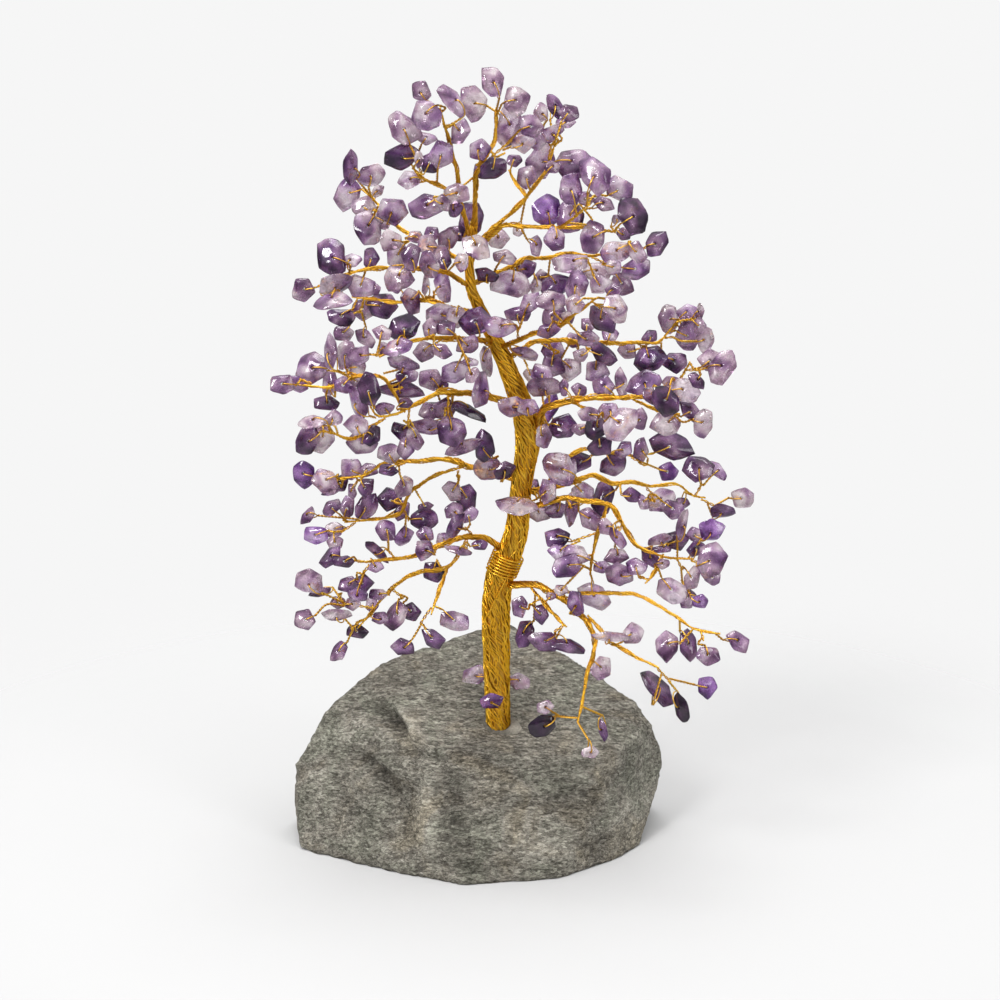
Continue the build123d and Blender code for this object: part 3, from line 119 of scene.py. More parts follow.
def smooth_line(points, step, values=None):
    """A smooth curve through points, sampled evenly, and values that are spread along it if any are given"""
    points = np.array(points, dtype=float)
    if len(points) == 2:
        spread = np.linspace(0, 1, 9)
        curve = np.array([points[0] * (1 - t) + points[1] * t for t in spread])
    else:
        ends = np.vstack([points[0] * 2 - points[1], points, points[-1] * 2 - points[-2]])
        curve = []
        spread = []
        for n in range(1, len(ends) - 2):
            p0, p1, p2, p3 = ends[n - 1:n + 3]
            pairs = (p0, p1), (p1, p2), (p2, p3)
            d01, d12, d23 = [max(np.linalg.norm(b - a), 1e-6) ** 0.5 for a, b in pairs]
            m1 = (p2 - p1) - (p2 - p0) * d12 / (d01 + d12) + (p1 - p0) * d12 / d01
            m2 = (p2 - p1) - (p3 - p1) * d12 / (d12 + d23) + (p3 - p2) * d12 / d23
            for t in np.arange(12) / 12:
                curve.append(p1 * (2 * t ** 3 - 3 * t * t + 1) + m1 * (t ** 3 - 2 * t * t + t)
                             + p2 * (3 * t * t - 2 * t ** 3) + m2 * (t ** 3 - t * t))
                spread.append(n - 1 + t)
        curve = np.array(curve + [points[-1]])
        spread = np.array(spread + [len(points) - 1], dtype=float) / (len(points) - 1)
    ways = ways_along(curve)
    at = np.linspace(0, ways[-1], max(int(ways[-1] / step) + 1, 3))
    out = np.array([np.interp(at, ways, curve[:, k]) for k in range(3)]).T
    if values is None:
        return out
    return out, np.interp(np.interp(at, ways, spread), np.linspace(0, 1, len(values)), values)


def frames_along(line):
    """A line's direction and two directions across it at each point, carried without twist"""
    runs = np.diff(line, axis=0)
    runs /= np.maximum(np.linalg.norm(runs, axis=1), 1e-12)[:, None]
    tangents = np.vstack([runs[:1], (runs[1:] + runs[:-1]), runs[-1:]])
    tangents /= np.maximum(np.linalg.norm(tangents, axis=1), 1e-12)[:, None]
    guess = np.array([0.0, 0.0, 1.0]) if abs(tangents[0][2]) < 0.9 else np.array([1.0, 0.0, 0.0])
    x = unit(np.cross(guess, tangents[0]))
    xs = [x]
    for tangent in tangents[1:]:
        x = x - tangent * (x @ tangent)
        if np.linalg.norm(x) < 1e-6:
            x = np.cross(tangent, [0.3, 0.5, 0.7])
        x = unit(x)
        xs.append(x)
    xs = np.array(xs)
    return tangents, xs, np.cross(tangents, xs)


def turned(xs, ys, angles):
    """Directions across a line, turned by an angle at each point"""
    return xs * np.cos(angles)[:, None] + ys * np.sin(angles)[:, None]


def wobble(ways, scale, turn, layer):
    """Smooth noise along a wire, about -1 to 1"""
    return np.array([noise.noise(Vector((way / MM * scale, turn, layer))) for way in ways])


# Reading the solids. Points closer than WELD are one, and lengths that differ by less than ALIKE are equal.
# A wire ends in equal-sided triangles and a limb in squares, with sides up to the two greatest lengths.
# The corners of a chip's hole lie within HOLE_REACH of its line.
WELD = 0.003 * MM
ALIKE = 0.01 * MM
WIDEST_WIRE = 1.3 * MM
WIDEST_LIMB = 3.4 * MM
LIMB_STEP = 1.2 * MM
MOST_STEPS = 300
HOLE_REACH = 0.66 * MM
HOLE_CORNERS = 6


def node_bmesh(name):
    """A node's mesh in the scene's own frame"""
    bm = bmesh.new()
    bm.from_mesh(nodes[name].data)
    bm.transform(nodes[name].matrix_world)
    return bm


def node_points(name):
    obj = nodes[name]
    return np.array([obj.matrix_world @ v.co for v in obj.data.vertices])


def loose_parts(name):
    """Points, neighbours of each point and faces of each loose solid of a node"""
    bm = node_bmesh(name)
    bmesh.ops.remove_doubles(bm, verts=bm.verts, dist=WELD)
    bm.verts.ensure_lookup_table()
    seen = set()
    parts = []
    for seed in bm.verts:
        if seed.index in seen:
            continue
        stack = [seed]
        seen.add(seed.index)
        members = []
        while stack:
            v = stack.pop()
            members.append(v)
            for e in v.link_edges:
                w = e.other_vert(v)
                if w.index not in seen:
                    seen.add(w.index)
                    stack.append(w)
        order = {v.index: n for n, v in enumerate(members)}
        points = np.array([v.co for v in members])
        near = [[order[e.other_vert(v).index] for e in v.link_edges] for v in members]
        faces = set()
        for v in members:
            for f in v.link_faces:
                faces.add(tuple(order[w.index] for w in f.verts))
        parts.append((points, near, list(faces)))
    bm.free()
    return parts


def triangles_of(part):
    """Three-sided faces of a solid with the lengths of their sides"""
    points = part[0]
    found = []
    for face in part[2]:
        if len(face) == 3:
            p = points[list(face)]
            found.append((face, [np.linalg.norm(p[k] - p[(k + 1) % 3]) for k in range(3)]))
    return found


def wire_line(part):
    """Middle line and radii of a three-sided wire, stepped from one end's corners to the next"""
    points, near = part[:2]
    start = None
    for face, sides in triangles_of(part):
        if max(sides) - min(sides) < ALIKE and max(sides) < WIDEST_WIRE:
            start = list(face)
            break
    if start is None:
        return None
    layers = [start]
    seen = set(start)
    while len(seen) < len(points):
        ring = {w for v in layers[-1] for w in near[v]} - seen
        if len(ring) != 3:
            return None
        layers.append(sorted(ring))
        seen |= ring
    line = np.array([points[layer].mean(axis=0) for layer in layers])
    radii = np.array([np.linalg.norm(points[layer] - c, axis=1).max() for layer, c in zip(layers, line)])
    return line, radii


def square_ends(part):
    """Corners of a limb's square ends, each two half squares that share their long side"""
    halves = {}
    ends = []
    for face, sides in triangles_of(part):
        k = int(np.argmax(sides))
        one, two = sides[(k + 1) % 3], sides[(k + 2) % 3]
        square = abs(one - two) < ALIKE and abs(sides[k] - one * math.sqrt(2)) < ALIKE
        if not square or one > WIDEST_LIMB:
            continue
        key = frozenset((face[k], face[(k + 1) % 3]))
        if key in halves:
            ends.append(sorted(set(face) | set(halves[key])))
        else:
            halves[key] = face
    return ends


def cut_across(points, triangles, target, way, within):
    """Middle of the outline that a plane cuts out of a solid round a point, and points on the outline"""
    sides = (points - target) @ way
    corners = sides[triangles]
    weight = 0.0
    total = np.zeros(3)
    hits = []
    for triangle in triangles[(corners.min(axis=1) < 0) & (corners.max(axis=1) > 0)]:
        pair = []
        for a, b in ((0, 1), (1, 2), (2, 0)):
            one, two = sides[triangle[a]], sides[triangle[b]]
            if one * two < 0:
                share = one / (one - two)
                pair.append(points[triangle[a]] * (1 - share) + points[triangle[b]] * share)
        if len(pair) < 2:
            continue
        middle = (pair[0] + pair[1]) / 2
        if np.linalg.norm(middle - target) > within:
            continue
        length = np.linalg.norm(pair[1] - pair[0])
        total += middle * length
        weight += length
        hits += pair
    return (total / weight if weight else None), hits


def limb_line(part):
    """Middle line and radii of a tapering limb, stepped along from its thick end"""
    points, near, faces = part
    ends = square_ends(part)
    if len(ends) != 2:
        return None
    middles = [points[end].mean(axis=0) for end in ends]
    sizes = [np.linalg.norm(points[end[0]] - middle) for end, middle in zip(ends, middles)]
    if sizes[0] < sizes[1]:
        ends, middles, sizes = ends[::-1], middles[::-1], sizes[::-1]
    beyond = [w for v in ends[0] for w in near[v] if w not in ends[0]]
    corners = points[ends[0]]
    way = unit(np.cross(corners[1] - corners[0], corners[2] - corners[0]))
    if way @ (points[beyond].mean(axis=0) - middles[0]) <= 0:
        way = -way
    triangles = np.array([face for face in faces if len(face) == 3])
    line = [middles[0]]
    radii = [sizes[0]]
    for step in range(MOST_STEPS):
        here = line[-1]
        if np.linalg.norm(middles[1] - here) < 1.4 * LIMB_STEP:
            break
        within = 2.2 * radii[-1] + 0.8 * MM
        new, hits = cut_across(points, triangles, here + way * LIMB_STEP, way, within)
        if new is None:
            break
        radii.append(min(max(np.linalg.norm(hit - new) for hit in hits), radii[-1] * 1.02))
        way = unit(way * 0.45 + unit(new - here) * 0.55)
        line.append(new)
    line = np.array(line + [middles[1]])
    radii = np.minimum.accumulate(np.array(radii + [sizes[1]]))
    for turn in range(3):
        line[1:-1] = (line[:-2] + line[1:-1] * 2 + line[2:]) / 4
        radii[1:-1] = (radii[:-2] + radii[1:-1] * 2 + radii[2:]) / 4
    return line, radii


# Making meshes

def ring_faces(rows, turns):
    """Faces of a closed skin of points in rows of turns, whose last row joins the first"""
    faces = []
    for row in range(rows):
        after = (row + 1) % rows
        for k in range(turns):
            m = (k + 1) % turns
            faces.append((row * turns + k, after * turns + k, after * turns + m, row * turns + m))
    return faces


def dress(name, mesh, look, node):
    """Puts a mesh in the place of a node"""
    mesh.polygons.foreach_set("use_smooth", [True] * len(mesh.polygons))
    mesh.materials.append(look)
    obj = bpy.data.objects.new(name, mesh)
    bpy.context.scene.collection.objects.link(obj)
    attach(obj, "root")
    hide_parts(node)


class Builder:
    """Gathers points and faces of many small forms into one mesh"""

    def __init__(self):
        self.points = []
        self.faces = []
        self.tones = []
        self.count = 0

    def shell(self, points, faces, tones):
        self.points.append(points)
        self.faces += [tuple(k + self.count for k in face) for face in faces]
        self.tones.append(np.broadcast_to(np.array(tones), (len(points), 3)))
        self.count += len(points)

    def tube(self, line, radius, tone, sides=5):
        """A round wire with pointed ends"""
        line = np.asarray(line)
        tangents, xs, ys = frames_along(line)
        radius = np.broadcast_to(np.asarray(radius, dtype=float), (len(line),))
        angles = np.arange(sides) * FULL / sides
        ring = (xs[:, None] * np.cos(angles)[None, :, None] + ys[:, None] * np.sin(angles)[None, :, None])
        points = line[:, None] + ring * radius[:, None, None]
        caps = np.array([line[0] - tangents[0] * radius[0] * 0.6, line[-1] + tangents[-1] * radius[-1] * 0.6])
        faces = []
        for a in range(0, (len(line) - 1) * sides, sides):
            b = a + sides
            for k in range(sides):
                m = (k + 1) % sides
                faces.append((a + k, a + m, b + m, b + k))
        last = (len(line) - 1) * sides
        cap = last + sides
        for k in range(sides):
            m = (k + 1) % sides
            faces.append((cap, m, k))
            faces.append((cap + 1, last + k, last + m))
        self.shell(np.vstack([points.reshape(-1, 3), caps]), faces, tone)

    def piece(self, name, look, node, slot):
        """One mesh of all the forms, kept inside the box of the solids, with a tone at each point"""
        mesh = bpy.data.meshes.new(name)
        points = np.clip(np.concatenate(self.points), room_low, room_high)
        mesh.from_pydata([tuple(p) for p in points], [], self.faces)
        mesh.validate()
        tones = np.ones((len(points), 4), dtype=np.float32)
        tones[:, :3] = np.concatenate(self.tones)
        mesh.color_attributes.new("tone", "FLOAT_COLOR", "POINT").data.foreach_set("color", tones.ravel())
        mesh.update()
        dress(name, mesh, look, node)


# Nodes of materials

def feed(tree, socket, value):
    """Sets a socket to a number or colour, or links it to another node's output"""
    if isinstance(value, bpy.types.NodeSocket):
        tree.links.new(value, socket)
    else:
        socket.default_value = value


def shader_node(tree, kind, inputs=None, output=0, **settings):
    """Makes a node with its settings and inputs, and gives one of its outputs"""
    made = tree.nodes.new("ShaderNode" + kind)
    for name, value in settings.items():
        setattr(made, name, value)
    for name, value in (inputs or {}).items():
        feed(tree, made.inputs[name], value)
    return made.outputs[output]


def new_material(name):
    """A material, its node tree and the place on the object that its textures read"""
    mat = bpy.data.materials.new(name)
    mat.use_nodes = True
    return mat, mat.node_tree, shader_node(mat.node_tree, "TexCoord", output="Object")


def surface(tree, settings):
    """Settings of a material's shader, by the names of its sockets"""
    for name, value in settings.items():
        feed(tree, tree.nodes["Principled BSDF"].inputs[name], value)


def channels(tree, colour):
    """The three channels of a colour"""
    split = tree.nodes.new("ShaderNodeSeparateColor")
    feed(tree, split.inputs[0], colour)
    return list(split.outputs)


def tone_channels(tree):
    return channels(tree, shader_node(tree, "Attribute", output="Color", attribute_name="tone"))


def ramp(tree, value, stops):
    """A colour between those of the stops, by a value from 0 to 1"""
    made = tree.nodes.new("ShaderNodeValToRGB")
    elements = made.color_ramp.elements
    while len(elements) > 1:
        elements.remove(elements[-1])
    elements[0].position = stops[0][0]
    elements[0].color = (*stops[0][1], 1)
    for place, colour in stops[1:]:
        elements.new(place).color = (*colour, 1)
    feed(tree, made.inputs[0], value)
    return made.outputs[0]


def math_node(tree, operation, *values, clamp=False):
    return shader_node(tree, "Math", dict(enumerate(values)), operation=operation, use_clamp=clamp)


def times(tree, value, amount):
    return math_node(tree, "MULTIPLY", value, amount)


def plus(tree, first, *others, clamp=False):
    """A sum, kept between 0 and 1 at its last step if it is clamped"""
    for n, value in enumerate(others, 1):
        first = math_node(tree, "ADD", first, value, clamp=clamp and n == len(others))
    return first


def centred(tree, value, amount):
    """A texture's value about zero instead of a half, times an amount"""
    return times(tree, math_node(tree, "SUBTRACT", value, 0.5), amount)


def noise_of(tree, place, scale, detail=4.0, rough=0.55, distortion=0.0):
    grain = {"Scale": scale, "Detail": detail, "Roughness": rough, "Distortion": distortion}
    return shader_node(tree, "TexNoise", {"Vector": place, **grain}, "Fac")


def mixed(tree, share, one, two, blend="MIX"):
    """Two colours in one, by a share or by a way of blending"""
    colours = {"Factor": share, "A": one, "B": two}
    return shader_node(tree, "Mix", colours, "Result", data_type="RGBA", blend_type=blend)


def mixed_shader(tree, share, one, two):
    return shader_node(tree, "MixShader", {"Fac": share, 1: one, 2: two})


def bump(tree, height, strength, distance):
    return shader_node(tree, "Bump", {"Height": height, "Strength": strength, "Distance": distance})


# Materials

def gold_material():
    """Drawn brass; the tone attribute gives each wire's brightness and how dull it is, and a rope's core the
    darkest tone as painted shade between its strands
    """
    mat, tree, place = new_material("gold_wire")
    bright, dull = tone_channels(tree)[:2]
    broad = noise_of(tree, place, 160.0, 3.0)
    fine = noise_of(tree, place, 1500.0, 3.0)
    value = plus(tree, times(tree, broad, 0.55), times(tree, fine, 0.25), times(tree, bright, 0.35),
                 clamp=True)
    colours = ramp(tree, value, [(0.15, (0.30, 0.13, 0.005)), (0.40, (0.60, 0.30, 0.016)),
                                 (0.62, (0.87, 0.48, 0.026)), (0.88, (0.98, 0.66, 0.075))])
    surface(tree, {
        "Base Color": mixed(tree, times(tree, dull, 0.5), colours, (0.37, 0.235, 0.10, 1.0)),
        "Roughness": plus(tree, times(tree, fine, 0.22), 0.2),
        "Metallic": 1.0,
        "Specular Tint": (0.85, 0.55, 0.14, 1.0),
        "Normal": bump(tree, fine, 0.18, 0.05 * MM),
    })
    return mat


def amethyst_material():
    """Cloudy, zoned quartz; the tone attribute gives each chip's depth of colour, with painted shade at its
    rim and in its hole, its vividness and a turn
    """
    mat, tree, place = new_material("amethyst")
    depth, vividness, turn = tone_channels(tree)
    rotation = {"Vector": place, "Axis": (0.3, 1.0, 0.2), "Angle": times(tree, turn, 6.283)}
    place = shader_node(tree, "VectorRotate", rotation, rotation_type="AXIS_ANGLE")
    zone = noise_of(tree, place, 165.0, 1.0, 0.4, 0.5)
    cloud = noise_of(tree, place, 420.0, 2.0, 0.45, 0.8)
    hue = noise_of(tree, place, 120.0, 1.0, 0.4, 0.4)
    veil = noise_of(tree, place, 210.0, 2.0, 0.5, 0.7)
    waves = {"Vector": place, "Scale": 62.0, "Distortion": 5.0, "Detail": 2.5}
    bands = shader_node(tree, "TexWave", waves, "Fac")
    ridge = math_node(tree, "SUBTRACT", 1.0, math_node(tree, "ABSOLUTE", centred(tree, veil, 2.0)))
    ridge = math_node(tree, "POWER", ridge, 40.0)
    value = plus(tree, depth, centred(tree, zone, 1.55), centred(tree, cloud, 0.22),
                 centred(tree, bands, 0.17), times(tree, ridge, -0.07), clamp=True)
    plain = ramp(tree, value, [(0.02, (0.86, 0.76, 0.79)), (0.20, (0.60, 0.44, 0.53)),
                               (0.42, (0.33, 0.180, 0.305)), (0.62, (0.145, 0.060, 0.140)),
                               (0.95, (0.030, 0.012, 0.034))])
    vivid = ramp(tree, value, [(0.05, (0.76, 0.58, 0.86)), (0.30, (0.44, 0.21, 0.60)),
                               (0.60, (0.15, 0.04, 0.26)), (0.95, (0.03, 0.008, 0.06))])
    share = plus(tree, vividness, centred(tree, hue, 1.3), 0.04, clamp=True)
    clearness = plus(tree, times(tree, cloud, -0.75), 1.05, times(tree, ridge, -0.12), clamp=True)
    surface(tree, {
        "Base Color": mixed(tree, share, plain, vivid),
        "Roughness": times(tree, cloud, 0.16),
        "IOR": 1.54,
        "Transmission Weight": clearness,
        "Specular IOR Level": 0.34,
        "Normal": bump(tree, cloud, 0.12, 0.2 * MM),
    })
    return mat


def stone_material():
    """Grey, foliated rock: fine pale and dark grains drawn out along the layers, with painted shade in the
    hollows and painted light on the ridges
    """
    mat, tree, place = new_material("granite")
    layered = shader_node(tree, "VectorMath", {0: place, 1: (0.55, 1.1, 1.45)}, operation="MULTIPLY")
    broad = noise_of(tree, place, 34.0, 4.0, 0.6, 0.5)
    grain = noise_of(tree, layered, 430.0, 8.0, 0.78, 0.9)
    fine = noise_of(tree, layered, 1700.0, 5.0, 0.8)
    cell = channels(tree, shader_node(tree, "TexVoronoi", {"Vector": layered, "Scale": 1050.0}, "Color"))[0]
    # Painted shade in the hollows and painted light on the ridges, one value at each point of the stone
    painted_relief_shading = shader_node(tree, "Attribute", output="Fac", attribute_name="painted_relief_shading")
    value = plus(tree, centred(tree, broad, 0.26), centred(tree, grain, 0.85), centred(tree, fine, 1.10),
                 centred(tree, cell, 0.24), painted_relief_shading, clamp=True)
    colours = ramp(tree, value, [(0.18, (0.026, 0.023, 0.018)), (0.36, (0.085, 0.077, 0.063)),
                                 (0.50, (0.172, 0.159, 0.132)), (0.64, (0.300, 0.281, 0.235)),
                                 (0.84, (0.56, 0.53, 0.455))])
    stain = noise_of(tree, place, 55.0, 3.0, 0.55, 0.8)
    tint = ramp(tree, stain, [(0.36, (0.93, 0.98, 0.94)), (0.52, (1.0, 1.0, 1.0)),
                              (0.66, (1.0, 0.955, 0.87))])
    height = plus(tree, times(tree, grain, 0.8), times(tree, fine, 0.5))
    surface(tree, {
        "Base Color": mixed(tree, 1.0, colours, tint, "MULTIPLY"),
        "Roughness": 0.82,
        "Specular IOR Level": 0.3,
        "Normal": bump(tree, height, 0.85, 1.3 * MM),
    })
    return mat


def cement_material():
    """Grainy cement; the tone attribute makes it paler where it is smeared out to the right and darker
    elsewhere
    """
    mat, tree, place = new_material("cement")
    broad = noise_of(tree, place, 260.0, 4.0)
    fine = noise_of(tree, place, 1400.0, 5.0, 0.7)
    pale = tone_channels(tree)[0]
    value = plus(tree, times(tree, broad, 0.45), times(tree, fine, 0.4), times(tree, pale, 0.35))
    colours = ramp(tree, value, [(0.34, (0.050, 0.045, 0.037)), (0.5, (0.13, 0.120, 0.098)),
                                 (0.68, (0.25, 0.232, 0.192)), (0.88, (0.42, 0.39, 0.33))])
    surface(tree, {
        "Base Color": colours,
        "Roughness": 0.9,
        "Normal": bump(tree, fine, 0.6, 0.6 * MM),
    })
    return mat


gold = gold_material()
amethyst = amethyst_material()
granite = stone_material()
cement = cement_material()

# Chips whose tone stands out in the photograph, by the pixel at which they show
DARK = [
    (401, 157), (430, 162), (332, 258), (371, 258), (340, 317), (404, 328), (475, 322), (493, 169),
    (369, 390), (401, 390), (327, 404), (373, 436), (388, 470), (366, 488), (330, 491), (340, 484),
    (390, 500), (424, 519), (433, 571), (344, 562), (331, 557), (484, 446), (505, 470), (487, 275),
    (556, 285), (602, 319), (603, 354), (597, 428), (600, 447), (580, 462), (650, 360), (675, 362),
    (665, 400), (671, 446), (700, 469), (722, 511), (603, 498), (677, 540), (651, 558), (357, 632),
    (433, 638), (411, 611), (524, 634), (632, 217), (348, 585), (657, 689), (688, 645), (567, 646),
    (544, 641),
]
BLACK = [(468, 411), (681, 708), (543, 725)]
PALE = [
    (742, 498), (440, 315), (457, 317), (309, 582), (325, 481), (621, 424), (615, 309), (600, 285),
    (598, 272), (486, 362), (498, 239), (509, 126), (516, 101), (403, 128), (426, 138), (312, 422),
    (357, 426), (338, 603), (336, 615), (667, 423), (704, 422), (684, 390), (595, 596), (669, 319),
    (700, 311), (672, 591), (475, 675), (519, 681), (610, 636), (507, 682),
]
VIVID = [
    (700, 601), (668, 472), (303, 473), (315, 535), (546, 211), (711, 531), (548, 410), (491, 702),
    (707, 687),
]
NEAR_PIXELS = 7
# Depth of colour of the listed chips, how much it varies, and vividness
LISTED = [
    (BLACK, 0.93, 0.0, 0.0), (DARK, 0.58, 0.12, 0.15), (PALE, 0.10, 0.10, 0.0), (VIVID, 0.38, 0.1, 0.85),
]


def tone_of(centre):
    """A chip's depth of colour, its vividness and the turn of its pattern"""
    across, down = shown(centre)
    offset = chance.random()
    roll = chance.random()
    for pixels, depth, varied, vividness in LISTED:
        if min(math.hypot(across - a, down - b) for a, b in pixels) < NEAR_PIXELS:
            return (depth + varied * roll, vividness, offset)
    if roll < 0.2:
        return (0.14 + 0.5 * roll, 0.0, offset)
    if roll < 0.82:
        return (0.25 + 0.22 * (roll - 0.2), 0.25 * chance.random(), offset)
    return (0.44 + 0.5 * (roll - 0.82), 0.2, offset)


# Pebbles: the radii and bearings at which a chip is sampled, its hole, and how its edges are worn.
# SWELL is how much wider than its solid a chip is before wear, so that the crown looks as full as it is.
RADIAL = [0.0, 0.13, 0.28, 0.42, 0.55, 0.67, 0.78, 0.87, 0.935, 0.975, 0.994, 1.0]
TURNS = 30
HOLE = 0.5 * MM
MOUTH = 0.16 * MM
LEAST_WALL = 0.6 * MM
SWELL = 1.2
FOOT_SWELL = 1.35
WORN_EDGE = 0.20 * MM
WORN_RIM = 0.13 * MM


class Blank:
    """A chip before it is tumbled: its place, the line of its hole, its rim's corners and thickness"""

    def __init__(self, centre, axis, rim, thick):
        self.centre = centre
        self.axis = axis
        self.thick = thick
        rel = rim - centre
        flat = rel - np.outer(rel @ axis, axis)
        self.x = square_to(np.linalg.svd(flat)[2][0], axis)
        self.y = np.cross(axis, self.x)
        corners = np.array([rel @ self.x, rel @ self.y, rel @ axis]).T
        self.corners = corners[np.argsort(np.arctan2(corners[:, 1], corners[:, 0]))]
        self.reach = np.linalg.norm(self.corners[:, :2], axis=1).max()


def blank_of(part, back, front):
    """The blank of a chip's solid, whose hole runs from back to front"""
    points = part[0]
    axis = unit(front - back)
    away = off_axis(points, back, axis)
    heights = (points[away < HOLE_REACH] - back) @ axis
    centre = back + axis * (heights.min() + heights.max()) / 2
    return Blank(centre, axis, points[away >= HOLE_REACH], heights.max() - heights.min())


def soft_least(values, width):
    """The least of several heights along the first axis, rounded where two of them meet"""
    least = values.min(axis=0)
    return least - width * np.log(np.exp(-(values - least) / width).sum(axis=0))


def rim_lift(corners, angles):
    """Height of a chip's rim at each bearing, between those of its corners"""
    turns = np.arctan2(corners[:, 1], corners[:, 0])
    order = np.argsort(turns)
    turns, heights = turns[order], corners[order, 2]
    turns = np.concatenate([[turns[-1] - FULL], turns, [turns[0] + FULL]])
    heights = np.concatenate([[heights[-1]], heights, [heights[0]]])
    return np.interp((angles + math.pi) % FULL - math.pi, turns, heights)


def corner_angles(corners):
    """The bearings at which a chip is sampled, with one of them at each corner"""
    angles = np.arange(TURNS) * FULL / TURNS
    for x, y in corners:
        turn = math.atan2(y, x) % FULL
        angles[int(round(turn / FULL * TURNS)) % TURNS] = turn
    return np.sort(angles)


def chip_planes(corners, half, rng):
    """Sides and faces of a chip: for each of its two sides, heights as offset and slopes across x and y"""
    runs = np.roll(corners, -1, axis=0) - corners
    outward = np.array([runs[:, 1], -runs[:, 0]]).T
    outward /= np.linalg.norm(outward, axis=1)[:, None]
    reach = np.maximum((corners * outward).sum(axis=1), HOLE + MOUTH + LEAST_WALL)
    sides = []
    for side in range(2):
        rows = []
        for k in range(len(corners)):
            steep = half / reach[k] * rng.uniform(1.25, 3.6)
            rows.append((reach[k] * steep, -outward[k][0] * steep, -outward[k][1] * steep))
        first = rng.uniform(0, FULL)
        for k in range(rng.choice((1, 2, 2, 3))):
            turn = first + 2.3 * k
            slope = rng.uniform(0.02, 0.30)
            rows.append((half * rng.uniform(1.0, 1.22), math.cos(turn) * slope, math.sin(turn) * slope))
        sides.append(np.array(rows))
    return sides


def side_heights(sides, x, y):
    """Height of each side of a chip above its middle plane, at x and y"""
    heights = []
    for rows in sides:
        values = rows[:, 0][:, None] + rows[:, 1][:, None] * x + rows[:, 2][:, None] * y
        heights.append(soft_least(values, WORN_EDGE))
    return heights


def rim_radii(sides, dx, dy, reach):
    """Radius at each bearing at which the two sides of a chip meet"""
    samples = np.linspace(HOLE * 1.6, reach * 1.05, 90)
    rim = np.full(TURNS, samples[-1])
    before = sum(side_heights(sides, samples[0] * dx, samples[0] * dy))
    open_still = np.ones(TURNS, dtype=bool)
    for inner, outer in zip(samples, samples[1:]):
        after = sum(side_heights(sides, outer * dx, outer * dy))
        ends = open_still & (after <= 0)
        share = before / np.maximum(before - after, 1e-12)
        rim = np.where(ends, inner + (outer - inner) * np.clip(share, 0, 1), rim)
        open_still &= ~ends
        before = after
    return rim


def knocked_off(points, rng):
    """A chip's points with up to three of its corners ground flat"""
    for n in range(rng.choice((0, 1, 2, 3))):
        tilt = rng.uniform(-0.8, 0.8)
        turn = rng.uniform(0, FULL)
        level = math.sqrt(1 - tilt * tilt)
        way = np.array([math.cos(turn) * level, math.sin(turn) * level, tilt])
        reaches = points @ way
        over = reaches - reaches.max() * rng.uniform(0.86, 0.95)
        points = points - np.outer(np.where(over > 0, over * 0.95, 0), way)
    return points


def pebble(builder, blank, rng, tone, grown=SWELL):
    """A tumbled chip with a drilled hole: flat faces and bevels whose edges are worn"""
    corners = blank.corners[:, :2] * grown
    half = blank.thick * 0.46
    angles = corner_angles(corners)
    dx, dy = np.cos(angles), np.sin(angles)
    sides = chip_planes(corners, half, rng)
    rim = rim_radii(sides, dx, dy, blank.reach * grown)
    lift = rim_lift(blank.corners, angles)
    rows = [[], []]
    for s in RADIAL:
        radius = HOLE + MOUTH + (rim - HOLE - MOUTH) * s
        upper, under = side_heights(sides, radius * dx, radius * dy)
        thick = np.maximum(upper + under, 0) / 2
        thick = np.sqrt(thick * thick + 2 * WORN_RIM * thick)
        tilt = (upper - under) / 2 + lift * (radius / rim) ** 2
        for side, sign in enumerate((1, -1)):
            rows[side].append(np.array([radius * dx, radius * dy, tilt + sign * thick]).T)
    for side in range(2):
        mouth = rows[side][0]
        wall = mouth * np.array([HOLE, HOLE, 0.0]) / (HOLE + MOUTH)
        wall[:, 2] = mouth[:, 2] * 0.90 + rows[1 - side][0][:, 2] * 0.10
        rows[side].insert(0, wall)
    grid = np.array(rows[0] + rows[1][-2::-1])
    points = knocked_off(grid.reshape(-1, 3), rng)
    seed = rng.uniform(0, 50)
    swell = [noise.noise(Vector((p[0] * 0.42 + seed, p[1] * 0.42, p[2] * 0.5))) for p in points / MM]
    points = points * (1 + 0.05 * np.array(swell))[:, None]
    world = blank.centre + np.outer(points[:, 0], blank.x) + np.outer(points[:, 1], blank.y)
    world += np.outer(points[:, 2], blank.axis)
    # Painted shade: each chip is darkened on the wall of its hole and towards its rim
    painted_edge_shade = np.array([0.30] + [0.08 * s ** 6 for s in RADIAL])
    painted_edge_shade = np.repeat(np.concatenate([painted_edge_shade, painted_edge_shade[-2::-1]]), TURNS)
    tones = np.tile(np.array(tone), (len(points), 1))
    tones[:, 0] = np.clip(tones[:, 0] + painted_edge_shade, 0, 1)
    builder.shell(world, ring_faces(len(grid), TURNS), tones)
    return blank.centre, blank.axis, half


# Wires. WIRE is the radius of a twig's wire, and a strand's is that of the wires in a rope.
WIRE = 0.23 * MM
SPRIG_STRAND = 0.22 * MM
LIMB_STRAND = 0.20 * MM
TRUNK_STRAND = 0.22 * MM
LOOSE_WIRE = 0.16 * MM


